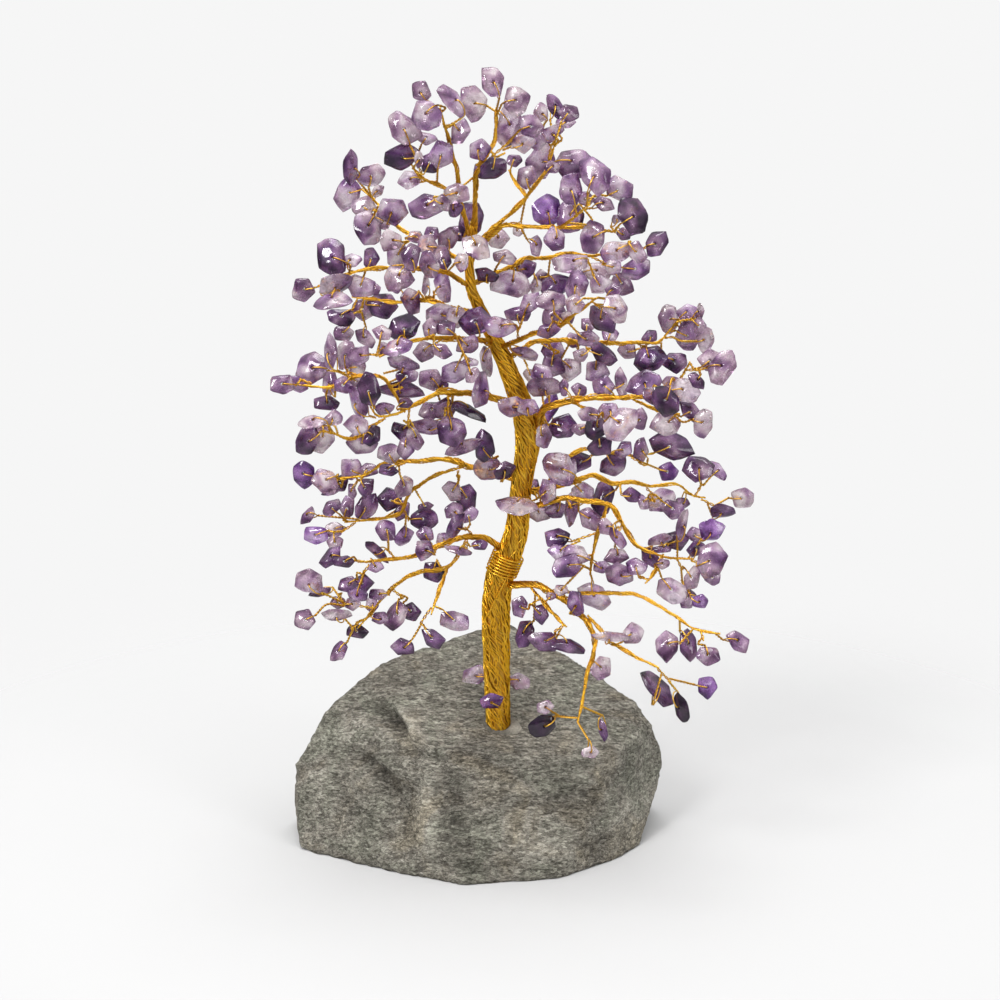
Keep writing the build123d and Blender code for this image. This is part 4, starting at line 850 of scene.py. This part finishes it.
def twisted_twig(builder, line, chip, rng):
    """One wire doubled: twisted along the twig, and parted round the chip through its hole"""
    centre, axis, half = chip
    legs = line[:-3]
    knee = legs[-1]
    path = np.vstack([legs[0] - unit(legs[1] - legs[0]) * 0.5 * MM, legs[1:]])
    middle = smooth_line(path, 0.36 * MM)
    xs, ys = frames_along(middle)[1:]
    pitch = rng.uniform(2.1, 2.9) * MM
    first = rng.uniform(0, FULL)
    side = turned(xs, ys, first + ways_along(middle) * FULL / pitch) * WIRE * 1.02
    one = middle + side
    two = middle - side
    if (one[-1] - two[-1]) @ axis > 0:
        one, two = two, one
    out = square_to(knee - centre, axis)
    reach = (knee - centre) @ out
    clear = axis * (half + 0.52 * MM)
    bend = axis * (half * 0.9 + 0.62 * MM)
    inside = axis * half * 0.5
    outward = out * 0.45 * MM
    loop = smooth_line([
        one[-1],
        centre + out * reach * 0.62 - bend,
        centre - clear + outward,
        centre - inside,
        centre + inside,
        centre + clear + outward,
        centre + out * reach * 0.60 + bend,
        centre + out * (reach - 0.25 * MM) + axis * 0.45 * MM,
        two[-1],
    ], 0.33 * MM)
    builder.tube(np.vstack([one[:-1], loop, two[-2::-1]]), WIRE, (rng.random(), 0.75, 0.5))


def rope(builder, line, radii, wire, slope, rng, rooted=0.0, loose=0.0, step=1.1, bright=0.0):
    """Wires laid side by side round a core, which starts a length back and thins as its wires end"""
    line, radii = smooth_line(line, step * MM, radii)
    if rooted:
        line = np.vstack([line[0] - unit(line[1] - line[0]) * rooted, line])
        radii = np.concatenate([[radii[0] * 0.8], radii])
    xs, ys = frames_along(line)[1:]
    ways = ways_along(line)
    lay = np.maximum(radii - wire, wire * 0.9)
    room = np.pi / np.arcsin(np.clip(wire / lay, 0, 1.0))
    room = np.maximum(np.minimum.accumulate(room), 2.0)
    rate = math.tan(slope) / np.maximum(lay, wire)
    twist = np.concatenate([[0], np.cumsum((rate[1:] + rate[:-1]) / 2 * np.diff(ways))])
    strands = int(round(room[0]))
    first = rng.uniform(0, FULL)
    for k in range(strands):
        alive = np.where(room >= k + 0.6)[0]
        last = alive[-1] if len(alive) else 2
        if last < 3:
            continue
        span = slice(0, last + 1)
        wander = wobble(ways[span], 0.21, k * 7.3 + first, 3.1) * loose * 0.5
        rise = wobble(ways[span], 0.33, k * 3.7 + first, 9.4) * loose * wire * 0.9
        angle = first + FULL * k / room[span] + twist[span] + wander
        out = lay[span] + rise
        if last < len(line) - 1:
            out = out * (0.45 + 0.55 * np.clip((ways[last] - ways[span]) / (2.5 * MM), 0, 1))
        strand = line[span] + turned(xs[span], ys[span], angle) * out[:, None]
        builder.tube(strand, wire, (bright + (1 - bright) * rng.random(), 0.35 * (1 - bright), 0.5))
    if strands > 5:
        # The core has the darkest tone: painted shade in the gaps between the strands
        builder.tube(line, np.maximum(lay - wire * 1.25, wire * 0.5), (0.0, 0.5, 0.5), 10)


def loose_strands(builder, line, radii, rng):
    """Pairs of wire that wind loosely round a limb before they leave it as twigs"""
    line, radii = smooth_line(line, 0.6 * MM, radii)
    if len(line) < 16:
        return
    xs, ys = frames_along(line)[1:]
    ways = ways_along(line)
    for k in range(3):
        first = rng.uniform(0, FULL)
        pitch = rng.choice((-1, 1)) * rng.uniform(13.0, 26.0) * MM
        begin = int(rng.uniform(0.0, 0.35) * len(line))
        end = int(rng.uniform(0.7, 1.0) * len(line))
        span = slice(begin, end)
        if end - begin < 8:
            continue
        lift = np.clip(wobble(ways[span], 0.11, k * 5.1 + first, 2.2) + 0.15, 0, 1)
        ends = np.minimum(ways[span] - ways[begin], ways[end - 1] - ways[span])
        ends = np.clip(ends / (3.0 * MM), 0, 1)
        slack = np.clip(radii[span] / MM - 0.25, 0.15, 1.0) * MM
        out = radii[span] * (0.5 + 0.5 * ends) + (0.1 + 1.1 * lift) * slack * ends
        middle = line[span] + turned(xs[span], ys[span], first + ways[span] * FULL / pitch) * out[:, None]
        across, up = frames_along(middle)[1:]
        arm = turned(across, up, ways[span] * FULL / (2.6 * MM)) * LOOSE_WIRE
        builder.tube(middle + arm, LOOSE_WIRE, (rng.random(), 0.5, 0.5))
        builder.tube(middle - arm, LOOSE_WIRE, (rng.random(), 0.5, 0.5))


# The crown. A wire belongs to a limb that it starts within TWIG_REACH of, and a limb ends BARE_TIP past
# the last of its wires. The lists gather what the smallest chips keep clear of or hang on.
TWIG_REACH = 2.5 * MM
BARE_TIP = 2.0 * MM
numbers = [f"{n:02d}" for n in range(1, 19)]
groups = [(f"limb_{n}_bundle", f"limb_{n}_twigs", f"limb_{n}_chips") for n in numbers]
groups.append((None, "foot_twigs", "foot_chips"))
crown = []
anchors = {}
limb_lines = []
bare_branches = []
builders = {}
unread = []


def without_bare_tip(line, radii, starts):
    """A limb's line up to a little past the last twig, sprig or branch that leaves it"""
    ways = ways_along(line)
    last = 0.0
    for start in starts:
        gaps = np.linalg.norm(line - start, axis=1)
        if gaps.min() < TWIG_REACH:
            last = max(last, ways[int(np.argmin(gaps))])
    if last == 0:
        bare_branches.append(line)
    if last == 0 or last + BARE_TIP >= ways[-1]:
        return line, radii
    keep = int(np.searchsorted(ways, last + BARE_TIP))
    return line[:keep], np.interp(np.linspace(0, 1, keep), np.linspace(0, 1, len(line)), radii)


def chip_of_twig(line, chip_parts, centres):
    """How far a twig's wire misses the hole of a chip at its end, its line towards it, and the chip"""
    best = None
    for led in (line, line[::-1]):
        middle = (led[-2] + led[-3]) / 2
        gaps = np.linalg.norm(centres - middle, axis=1)
        n = int(np.argmin(gaps))
        away = off_axis(chip_parts[n][0], middle, unit(led[-2] - led[-3]))
        misfit = abs(int((away < HOLE_REACH).sum()) - HOLE_CORNERS)
        if best is None or (misfit, gaps[n]) < best[0]:
            best = ((misfit, gaps[n]), led, n)
    return best[0][0], best[1], best[2]


def dress_chips(bundle_name, twigs_name, chips_name, rng):
    """Pebbles, doubled wires and ropes for a limb's chips, twigs and sprigs; gives the sprigs' lines"""
    chip_parts = loose_parts(chips_name)
    centres = np.array([part[0].mean(axis=0) for part in chip_parts])
    twigs = Builder()
    pebbles = Builder()
    builders[twigs_name] = twigs
    builders[chips_name] = pebbles
    sprigs = []
    done = set()
    for part in loose_parts(twigs_name):
        found = wire_line(part)
        if found is None:
            unread.append(twigs_name)
            continue
        line, radii = found
        if len(line) == 2:
            sprigs.append(line)
            rope(twigs, line, radii * 1.2, SPRIG_STRAND, math.radians(26), rng, 0.7 * MM, 0.9, 0.55)
            continue
        misfit, line, n = chip_of_twig(line, chip_parts, centres)
        if misfit or n in done:
            unread.append(twigs_name)
            continue
        done.add(n)
        blank = blank_of(chip_parts[n], line[-3], line[-2])
        grown = SWELL if bundle_name else FOOT_SWELL
        chip = pebble(pebbles, blank, rng, tone_of(blank.centre), grown)
        twisted_twig(twigs, line, chip, rng)
        crown.append(dict(node=chips_name, centre=blank.centre, reach=blank.reach * 0.9, twig=line[:-3]))
    return sprigs


def dress_bundle(bundle_name, starts, rng):
    """Ropes and loose strands for a limb and its branches, whose lines it gives"""
    bundles = Builder()
    found = [limb_line(part) for part in loose_parts(bundle_name)]
    lines = []
    for n, limb in enumerate(found):
        if limb is None:
            unread.append(bundle_name)
            continue
        branches = [other[0][0] for m, other in enumerate(found) if other and m != n]
        line, radii = without_bare_tip(*limb, starts + branches)
        lines.append(line)
        limb_lines.append((line, radii[0]))
        rope(bundles, line, radii, LIMB_STRAND, math.radians(27), rng, 1.4 * MM, 1.3, 0.8)
        loose_strands(bundles, line, radii, rng)
    bundles.piece(bundle_name + "_wires", gold, bundle_name, "gold_wire")
    return lines


for bundle_name, twigs_name, chips_name in groups:
    rng = random.Random(twigs_name)
    sprigs = dress_chips(bundle_name, twigs_name, chips_name, rng)
    twig_lines = [chip["twig"] for chip in crown if chip["node"] == chips_name]
    starts = [twig[0] for twig in twig_lines] + [end for line in sprigs for end in (line[0], line[-1])]
    lines = dress_bundle(bundle_name, starts, rng) if bundle_name else []
    anchors[chips_name] = lines + sprigs + twig_lines

# The smallest chips, which lie among the others and have no solids: across, down, length share,
# width share and turn of the long side
SMALL = [
    (482, 190, .65, .6, 0), (491, 189, .6, .5, 0), (481, 171, .6, .6, 0), (514, 160, .6, .5, 0),
    (419, 160, .65, .35, 90), (455, 210, .65, .6, 90), (443, 203, .65, .55, -45), (383, 222, .65, .6, -40),
    (378, 191, .6, .4, 40), (416, 237, .6, .5, 0), (432, 234, .6, .6, 0), (374, 289, .5, .5, 0),
    (465, 300, .6, .5, -30), (382, 333, .65, .6, 0), (384, 348, .5, .5, 0), (470, 362, .65, .35, 0),
    (472, 375, .65, .5, 50), (356, 381, .6, .5, 0), (343, 385, .65, .6, 0), (405, 403, .6, .4, 0),
    (443, 386, .5, .4, 0), (352, 491, .6, .35, 90), (335, 543, .65, .6, 0), (425, 506, .6, .35, 10),
    (425, 534, .65, .6, 0), (376, 567, .6, .4, 0), (443, 539, .6, .5, 0), (488, 530, .6, .45, 30),
    (353, 604, .65, .5, 0), (338, 603, .65, .5, 0), (372, 605, .6, .5, 80), (380, 618, .65, .55, 0),
    (552, 167, .6, .5, 0), (518, 231, .5, .4, 0), (586, 199, .6, .55, 0), (616, 219, .4, .4, 0),
    (624, 234, .6, .5, 0), (613, 267, .55, .6, 90), (516, 268, .5, .4, 0), (541, 278, .65, .6, 0),
    (536, 286, .6, .5, 90), (613, 290, .65, .55, 0), (568, 318, .5, .5, 0), (587, 325, .6, .5, -30),
    (610, 334, .65, .6, 0), (573, 340, .65, .6, 0), (699, 326, .65, .5, 90), (650, 337, .65, .5, 20),
    (581, 355, .6, .5, 0), (671, 382, .65, .5, 0), (564, 388, .65, .4, 90), (579, 390, .6, .5, 0),
    (531, 376, .65, .5, -50), (580, 429, .65, .5, 0), (682, 503, .65, .45, 0), (534, 487, .6, .4, 90),
    (695, 535, .65, .55, 0), (696, 549, .65, .6, 0), (700, 601, .65, .6, 0), (663, 564, .5, .4, 0),
    (602, 567, .65, .5, 0), (545, 707, .65, .5, 0), (590, 752, .65, .5, 0), (572, 756, .55, .45, 0),
    (561, 590, .55, .45, 0), (551, 596, .4, .35, 0),
]
CHIP_LENGTH = 8.2 * MM
NEAREST_CHIPS = 14
FOOT_DOWN = 690
SHIFTS = np.arange(-14, 15) * MM
LEAST_GAP = 0.1 * MM
SHORTEST_TWIG = 1.5 * MM
LONGEST_TWIG = 16 * MM
BARE_BRANCH_PULL = 20 * MM


def free_place(across, down, size):
    """Score and centre of the best free place on a line of sight, the point of a wire for it, and its node"""
    centres = np.array([chip["centre"] for chip in crown])
    reaches = np.array([chip["reach"] for chip in crown])
    spots = np.array([shown(centre) for centre in centres])
    order = np.argsort(np.hypot(spots[:, 0] - across, spots[:, 1] - down))[:NEAREST_CHIPS]
    best = None
    for n in order:
        node = crown[n]["node"]
        if node == "foot_chips" and down < FOOT_DOWN:
            continue
        corners = node_points(node)
        low, high = corners.min(axis=0), corners.max(axis=0)
        for shift in SHIFTS:
            centre = seen_at(across, down, centres[n][1] + shift)
            if (centre - size < low).any() or (centre + size > high).any():
                continue
            free = (np.linalg.norm(centres - centre, axis=1) - reaches).min() - size
            for line, radius in limb_lines:
                free = min(free, gap_to_line(centre, line)[1] - radius - size * 0.8)
            if free < LEAST_GAP:
                continue
            for line in anchors[node]:
                anchor, gap = gap_to_line(centre, line)
                if gap < size + SHORTEST_TWIG or gap > LONGEST_TWIG:
                    continue
                run = anchor + (centre - anchor) * np.linspace(0.15, 0.7, 6)[:, None]
                bare = np.linalg.norm(run[:, None] - centres[None], axis=2) - reaches[None] * 0.9
                score = gap + abs(shift) * 0.3 - min(bare.min(), 1.0 * MM) * 6
                if any(line is branch for branch in bare_branches):
                    score -= BARE_BRANCH_PULL
                if best is None or score < best[0]:
                    best = (score, centre, anchor, node)
    return best


def small_chip(row, rng):
    """Makes a small chip with its own twig, if its line of sight has a free place"""
    across, down, length, width, turn = row
    size = CHIP_LENGTH * length / 2
    found = free_place(across, down, size)
    if found is None:
        return False
    centre, anchor, node = found[1:]
    axis = unit(view_back + np.array([rng.uniform(-0.5, 0.5), 0, rng.uniform(-0.5, 0.5)]))
    flat_turn = math.radians(turn)
    long_way = square_to(np.array([math.cos(flat_turn), 0, 0]) + view_up * math.sin(flat_turn), axis)
    wide_way = np.cross(axis, long_way)
    rim = []
    first = rng.uniform(0, FULL)
    for k in range(5):
        angle = first + FULL * (k + rng.uniform(-0.14, 0.14)) / 5
        swell = rng.uniform(0.98, 1.2)
        across_it = long_way * math.cos(angle) * size * swell
        rim.append(centre + across_it + wide_way * math.sin(angle) * size * width / length * swell)
    thick = 2 * size * math.sqrt(width / length) * rng.uniform(0.4, 0.5)
    blank = Blank(centre, axis, np.array(rim), thick)
    chip = pebble(builders[node], blank, rng, tone_of(centre))
    out = square_to(anchor - centre, axis)
    over = thick / 2 + 1.1 * MM
    knee = centre + out * (blank.reach + 0.9 * MM) - axis * over * 0.45
    tail = centre + out * (blank.reach + 0.3 * MM) + axis * over * 0.45
    line = np.array([anchor, knee, centre - axis * over, centre + axis * over, tail])
    twisted_twig(builders[node.replace("chips", "twigs")], line, chip, rng)
    crown.append(dict(node=node, centre=centre, reach=blank.reach * 0.9))
    return True


small_rng = random.Random("small chips")
placed = [small_chip(row, small_rng) for row in SMALL]
for name, builder in builders.items():
    if name.endswith("twigs"):
        builder.piece(name + "_wire", gold, name, "gold_wire")
    else:
        builder.piece(name + "_stones", amethyst, name, "amethyst")
print("small chips placed", sum(placed), "of", len(placed), "not read", unread)


# The trunk

def trunk_shape():
    """Middle line and radii of the trunk, level by level"""
    points, faces = loose_parts("trunk_bundle")[0][::2]
    low, high = points[:, 2].min(), points[:, 2].max()
    levels = np.arange(low + 3 * MM, high - 2 * MM, 4 * MM)
    line = []
    radii = []
    for level in [low + 0.2 * MM, *levels, high - 0.8 * MM]:
        hits = []
        for face in faces:
            for a, b in zip(face, face[1:] + face[:1]):
                if (points[a][2] - level) * (points[b][2] - level) < 0:
                    t = (level - points[a][2]) / (points[b][2] - points[a][2])
                    hits.append(points[a] * (1 - t) + points[b] * t)
        hits = np.array(hits)
        line.append((hits.max(axis=0) + hits.min(axis=0)) / 2)
        radii.append((hits[:, 1].max() - hits[:, 1].min()) / 2)
    return np.array(line), np.array(radii)


trunk_line, trunk_radii = trunk_shape()


def trunk_at(height):
    return np.array([np.interp(height, trunk_line[:, 2], trunk_line[:, k]) for k in range(3)])


def on_trunk(height, turn, lift):
    """A point over the trunk's skin"""
    out = np.interp(height, trunk_line[:, 2], trunk_radii) + lift
    return trunk_at(height) + np.array([math.cos(turn) * out, math.sin(turn) * out, 0])


trunk = Builder()
rng = random.Random("trunk")
rope(trunk, trunk_line, trunk_radii, TRUNK_STRAND, -math.radians(26), rng, 0.0, 1.5, 1.1, 0.55)
# One loose wire lies slantwise over the strands at the front
shares = np.linspace(0, 1, 40)
slant = [on_trunk(0.1005 - 0.0165 * t, math.radians(-52 - 70 * t), 0.32 * MM) for t in shares]
trunk.tube(smooth_line(slant, 0.4 * MM), 0.26 * MM, (0.9, 0.1, 0.5), 6)
trunk.piece("trunk_strands", gold, "trunk_bundle", "gold_wire")

# The binding: one wire wound round the trunk, a little unevenly, with both its ends tucked in
BINDING_WIRE = 0.3 * MM
BINDING_TURNS = 7
TURN_POINTS = 28
wrap_points = loose_parts("trunk_wrap")[0][0]
foot = trunk_at(wrap_points[:, 2].min() + 1.6 * MM)
top = trunk_at(wrap_points[:, 2].max() - 1.6 * MM)
run = unit(top - foot)
outer = off_axis(wrap_points, foot, run)
lay = (outer.max() + outer.min()) / 2
x = unit(np.cross(run, [0, 1, 0]))
y = np.cross(run, x)
length = np.linalg.norm(top - foot) * 1.05
path = []
for t in np.arange(BINDING_TURNS * TURN_POINTS + 1) / TURN_POINTS:
    angle = FULL * t
    drift = noise.noise(Vector((t * 1.7, 4.2, 0.3))) * 0.25 * MM
    out = lay - 0.12 * MM + noise.noise(Vector((t * 2.3, 1.2, 7.3))) * 0.08 * MM
    along = foot - run * 0.02 * length + run * (t / BINDING_TURNS * length + drift)
    path.append(along + (x * math.cos(angle) + y * math.sin(angle)) * out)
first_end = path[0] + unit(foot - path[0]) * 1.2 * MM
last_end = path[-1] + unit(top - path[-1]) * 1.2 * MM
wrap = Builder()
wrap.tube(smooth_line([first_end, *path, last_end], 0.5 * MM), BINDING_WIRE, (0.75, 0.15, 0.5), 6)
wrap.piece("binding_wire", gold, "trunk_wrap", "gold_wire")

# The stone. Hollows and ridges seen in the photograph: across, down, half length, half width and turn
# of the long side in the picture, in pixels and degrees, then the lift in millimetres.
FORMS = [
    (391, 719, 21, 9, 38, -3.2), (379, 775, 15, 8, 48, -2.8), (365, 760, 17, 6, 42, -1.6),
    (409, 724, 24, 6, 56, 1.9), (427, 812, 52, 9, 90, 1.8), (452, 822, 40, 14, 90, -1.5),
    (377, 671, 10, 6, -25, 1.6), (343, 736, 26, 11, -15, 1.3), (398, 792, 16, 12, 0, -1.5),
    (345, 800, 30, 8, 60, -1.3), (572, 801, 30, 17, 10, -1.6), (520, 790, 46, 6, 6, 1.1),
    (600, 770, 30, 8, -25, 1.2), (540, 846, 40, 12, 12, 1.2), (480, 868, 30, 8, 0, -1.2),
    (628, 812, 14, 26, 20, 1.3), (600, 845, 24, 8, -20, -1.2), (368, 846, 34, 8, 14, 1.1),
    (325, 770, 10, 26, 0, 0.9), (640, 742, 22, 7, 35, 1.1), (455, 757, 60, 6, 4, -0.9),
    (430, 690, 40, 7, -38, 0.9), (560, 700, 40, 6, 40, 0.8), (470, 655, 30, 7, -20, -0.9),
]
STONE_MIDDLE = np.array([-0.004, 0.012, 0.024])
LEAST_FACE = 2e-5
TOP_LEVEL = 0.03
SOCKET_REACH = 4.75 * MM
SOCKET_DEPTH = 25.3 * MM
foot_x, foot_z = trunk_line[0][0], 0.043


def stone_planes():
    """Normal and offset of each large outer face of the stone's solid"""
    bm = node_bmesh("stone_base")
    planes = {}
    for face in bm.faces:
        n = face.normal
        d = n.dot(face.verts[0].co)
        key = (round(n.x, 2), round(n.y, 2), round(n.z, 2), round(d, 3))
        planes.setdefault(key, [0.0, np.array(n), d])
        planes[key][0] += face.calc_area()
    bm.free()
    points = node_points("stone_base")
    outer = [(n, d) for area, n, d in planes.values() if area > LEAST_FACE and (points @ n - d).max() < 2e-5]
    return np.array([n for n, d in outer]), np.array([d for n, d in outer])


def noise_at(points, scale, octaves, seed, rough=0.9):
    """Layered noise at each point, about -1 to 1"""
    shift = Vector((seed * 3.7, seed * 1.3, seed * 5.1))
    return np.array([noise.fractal(Vector(p) * scale + shift, rough, 2.0, octaves) for p in points])


def worn(room, slopes, hardness):
    """Reach to the nearest plane along each direction, its edges slightly rounded"""
    reach = np.where(slopes > 1e-4, room / np.maximum(slopes, 1e-4), 1e3)
    least = reach.min(axis=1)
    return least - np.log(np.exp(-hardness * (reach - least[:, None])).sum(axis=1)) / hardness


def broken_faces(ways):
    """Points of the stone along directions from its middle: flat cleavage faces with ledges and swells"""
    normals, limits = stone_planes()
    print("stone faces", len(normals))
    level = limits - normals @ STONE_MIDDLE
    slopes = ways @ normals.T
    first = STONE_MIDDLE + ways * worn(level[None, :], slopes, 2200.0)[:, None]
    room = np.repeat(level[None, :], len(ways), axis=0)
    for k, normal in enumerate(normals):
        near_plane = np.abs(first @ normal - limits[k]) < 9 * MM
        underside = normal[2] < -0.97
        if underside or not near_plane.any():
            continue
        spots = first[near_plane]
        swell = noise_at(spots, 46.0, 3, 2.0 + k)
        ledge = noise_at(spots * np.array([1.0, 1.0, 1.8]), 30.0, 2, 31.0 + k) * 3.0
        ledge = np.floor(ledge) + np.clip((ledge - np.floor(ledge) - 0.75) * 4, 0, 1)
        room[near_plane, k] += np.clip(swell * 0.8 - 0.05 + ledge * 0.32, -1.7, 1.1) * MM
    return STONE_MIDDLE + ways * worn(room, slopes, 2600.0)[:, None]


def carving(base, ways):
    """Depth of the photographed hollows and ridges at each point that faces the photographer"""
    pixels = np.array([shown(p) for p in base])
    facing = (ways @ view_back) > 0.05
    carved = np.zeros(len(base))
    for across, down, long, wide, turn, lift in FORMS:
        du, dv = pixels[:, 0] - across, pixels[:, 1] - down
        cos, sin = math.cos(math.radians(turn)), math.sin(math.radians(turn))
        gaps = np.hypot((du * cos + dv * sin) / long, (dv * cos - du * sin) / wide)
        carved += np.where(facing, np.exp(-gaps ** 2.4), 0.0) * lift * MM
    return carved


def drill_socket(points):
    """Sinks the socket in which the trunk stands into the stone's points"""
    axis = np.array([foot_x, 0.0])
    spread = points[:, :2] - axis
    away = np.hypot(spread[:, 0], spread[:, 1])
    upper = points[:, 2] > TOP_LEVEL
    drilled = upper & (away < SOCKET_REACH)
    edge = upper & (away >= SOCKET_REACH) & (away < SOCKET_REACH + 0.8 * MM)
    wall = drilled & (away > SOCKET_REACH - 1.2 * MM)
    for ring, reach in ((edge, SOCKET_REACH + 0.05 * MM), (wall, SOCKET_REACH - 0.05 * MM)):
        points[ring, :2] = axis + spread[ring] * (reach / np.maximum(away, 1e-6))[ring][:, None]
    points[drilled, 2] = foot_z - SOCKET_DEPTH


def dress_stone():
    """The stone's mesh; gives the points of its top before the socket is drilled"""
    bm = bmesh.new()
    bmesh.ops.create_icosphere(bm, subdivisions=7, radius=1.0)
    bm.verts.ensure_lookup_table()
    ways = np.array([v.co for v in bm.verts])
    ways /= np.linalg.norm(ways, axis=1)[:, None]
    base = broken_faces(ways)
    mid = noise_at(base * np.array([0.75, 1.0, 1.3]), 190.0, 4, 7.0)
    fine = noise_at(base, 700.0, 4, 9.0)
    shift = np.clip(mid * 0.55 + fine * 0.28, -1.4, 0.8) * MM
    carved = carving(base, ways)
    quiet = np.clip((base[:, 2] - 0.5 * MM) / (5 * MM), 0.1, 1.0)
    points = base + ways * ((shift + carved) * quiet)[:, None]
    corners = node_points("stone_base")
    low, high = np.maximum(corners.min(axis=0), room_low), np.minimum(corners.max(axis=0), room_high)
    points = np.clip(points, low, high)
    points[:, 2] = np.maximum(points[:, 2], 0.0)
    top_points = points[points[:, 2] > TOP_LEVEL]
    drill_socket(points)
    for v, p in zip(bm.verts, points):
        v.co = p
    mesh = bpy.data.meshes.new("stone_rough")
    bm.to_mesh(mesh)
    bm.free()
    # Painted shade and light: hollows are darkened and ridges lightened in the colour, as light would fall on
    # them
    painted_relief_shading = 0.5 + np.clip(carved / MM * 0.075 + mid * 0.06, -0.22, 0.13)
    mesh.attributes.new("painted_relief_shading", "FLOAT", "POINT").data.foreach_set("value", painted_relief_shading.astype(np.float32))
    dress("stone_rough", mesh, granite, "stone_base")
    return top_points


stone_top = dress_stone()


def stone_height(x, y):
    """Height of the stone's top near the trunk"""
    gaps = np.hypot(stone_top[:, 0] - x, stone_top[:, 1] - y)
    weights = np.exp(-(gaps / (0.8 * MM)) ** 2)
    return float((stone_top[:, 2] * weights).sum() / weights.sum())


# The cement: a thin ragged collar round the foot, smeared out to the right, with a skin closed underneath
AROUND = 64
COLLAR_REACH = 4.3 * MM
rings = []
tones = []
for s in (0.0, 0.15, 0.32, 0.5, 0.68, 0.84, 0.94, 1.0):
    for k in range(AROUND):
        a = FULL * k / AROUND
        smear = max(math.cos(a + 0.35), 0) ** 4
        ragged = noise.noise(Vector((math.cos(a) * 2.6, math.sin(a) * 2.6, 5)))
        wide = (5.9 + 0.9 * ragged + 3.2 * smear) * MM
        r = COLLAR_REACH + (wide - COLLAR_REACH) * s
        px, py = foot_x + math.cos(a) * r, math.sin(a) * r
        lumps = noise.fractal(Vector((px * 600, py * 600, 2)), 0.8, 2.0, 3)
        lift = 0.45 * (1 - s) - 0.5 * s ** 4 + 0.30 * smear * (1 - s ** 3) + 0.22 * lumps * (1 - s)
        rings.append((px, py, stone_height(px, py) + lift * MM))
        tones.append((0.05 + 0.75 * smear, 0.5, 0.5))
for above, drop in ((rings[-AROUND:], 1.2 * MM), (rings[:AROUND], 2.6 * MM)):
    for px, py, pz in above:
        rings.append((px, py, pz - drop))
        tones.append((0.2, 0.5, 0.5))
collar = Builder()
collar.shell(np.array(rings), ring_faces(len(rings) // AROUND, AROUND), np.array(tones))
collar.piece("foot_cement", cement, "socket_cement", "cement")

# The floor, which gives way to the white backdrop some way off
FLOOR = 2.2
FADE_FROM = 0.13
FADE_TO = 0.34
floor_mesh = bpy.data.meshes.new("floor")
corners = [(-FLOOR, -FLOOR, 0), (FLOOR, -FLOOR, 0), (FLOOR, FLOOR, 0), (-FLOOR, FLOOR, 0)]
floor_mesh.from_pydata(corners, [], [(0, 1, 2, 3)])
floor = bpy.data.objects.new("floor", floor_mesh)
bpy.context.scene.collection.objects.link(floor)
mat, tree, place = new_material("floor")
shade = ramp(tree, noise_of(tree, place, 3.0, 2.0), [(0.0, (0.495,) * 3), (1.0, (0.505,) * 3)])
surface(tree, {"Base Color": shade, "Roughness": 0.9, "Specular IOR Level": 0.1})
distance = shader_node(tree, "VectorMath", {0: place}, "Value", operation="LENGTH")
limits = {"Value": distance, "From Min": FADE_FROM, "From Max": FADE_TO}
fade = shader_node(tree, "MapRange", limits, "Result", interpolation_type="SMOOTHERSTEP")
clear = shader_node(tree, "BsdfTransparent")
blend = mixed_shader(tree, fade, tree.nodes["Principled BSDF"].outputs[0], clear)
feed(tree, tree.nodes["Material Output"].inputs["Surface"], blend)
floor_mesh.materials.append(mat)

# The room: white as the backdrop to the camera, and for the light a bright ceiling over darker walls
world = bpy.data.worlds.new("studio")
bpy.context.scene.world = world
world.use_nodes = True
tree = world.node_tree
direction = shader_node(tree, "TexCoord", output="Generated")
upward = shader_node(tree, "SeparateXYZ", {0: direction}, "Z")
sky = ramp(tree, plus(tree, times(tree, upward, 0.5), 0.5), [
    (0.0, (0.80,) * 3), (0.42, (0.60,) * 3), (0.56, (0.17, 0.17, 0.175)), (0.70, (0.60, 0.60, 0.61)),
    (0.86, (1.35,) * 3)])
ceiling = shader_node(tree, "Background", {"Color": sky, "Strength": 1.0})
backdrop = shader_node(tree, "Background", {"Color": (0.922, 0.922, 0.922, 1.0), "Strength": 1.0})
to_camera = shader_node(tree, "LightPath", output="Is Camera Ray")
choice = mixed_shader(tree, to_camera, ceiling, backdrop)
feed(tree, tree.nodes["World Output"].inputs["Surface"], choice)


def area_light(name, place, target, size, power):
    data = bpy.data.lights.new(name, "AREA")
    data.shape = "RECTANGLE"
    data.size, data.size_y = size
    data.energy = power
    obj = bpy.data.objects.new(name, data)
    obj.location = place
    obj.rotation_euler = (Vector(target) - Vector(place)).to_track_quat("-Z", "Y").to_euler()
    bpy.context.scene.collection.objects.link(obj)


area_light("key", (-1.3, -1.7, 2.1), (0, 0, 0.13), (0.8, 0.8), 50.0)
area_light("fill", (1.7, -1.5, 0.9), (0, 0, 0.14), (0.8, 1.1), 12.0)
area_light("top", (0.1, 0.4, 2.6), (0, 0, 0.1), (1.2, 1.2), 30.0)

# The camera, at the photograph's angle
SENSOR = 36.0
camera_data = bpy.data.cameras.new("camera")
camera_data.sensor_width = SENSOR
camera_data.lens = FOCAL_PIXELS * SENSOR / (2 * MIDDLE_PIXEL)
camera_data.clip_start = 0.05
camera_data.clip_end = 60.0
camera = bpy.data.objects.new("camera", camera_data)
camera.location = Vector(eye)
camera.rotation_euler = (Vector((0, 0, VIEW_HEIGHT)) - Vector(eye)).to_track_quat("-Z", "Y").to_euler()
bpy.context.scene.collection.objects.link(camera)
bpy.context.scene.camera = camera
bpy.context.scene.view_settings.view_transform = "Standard"
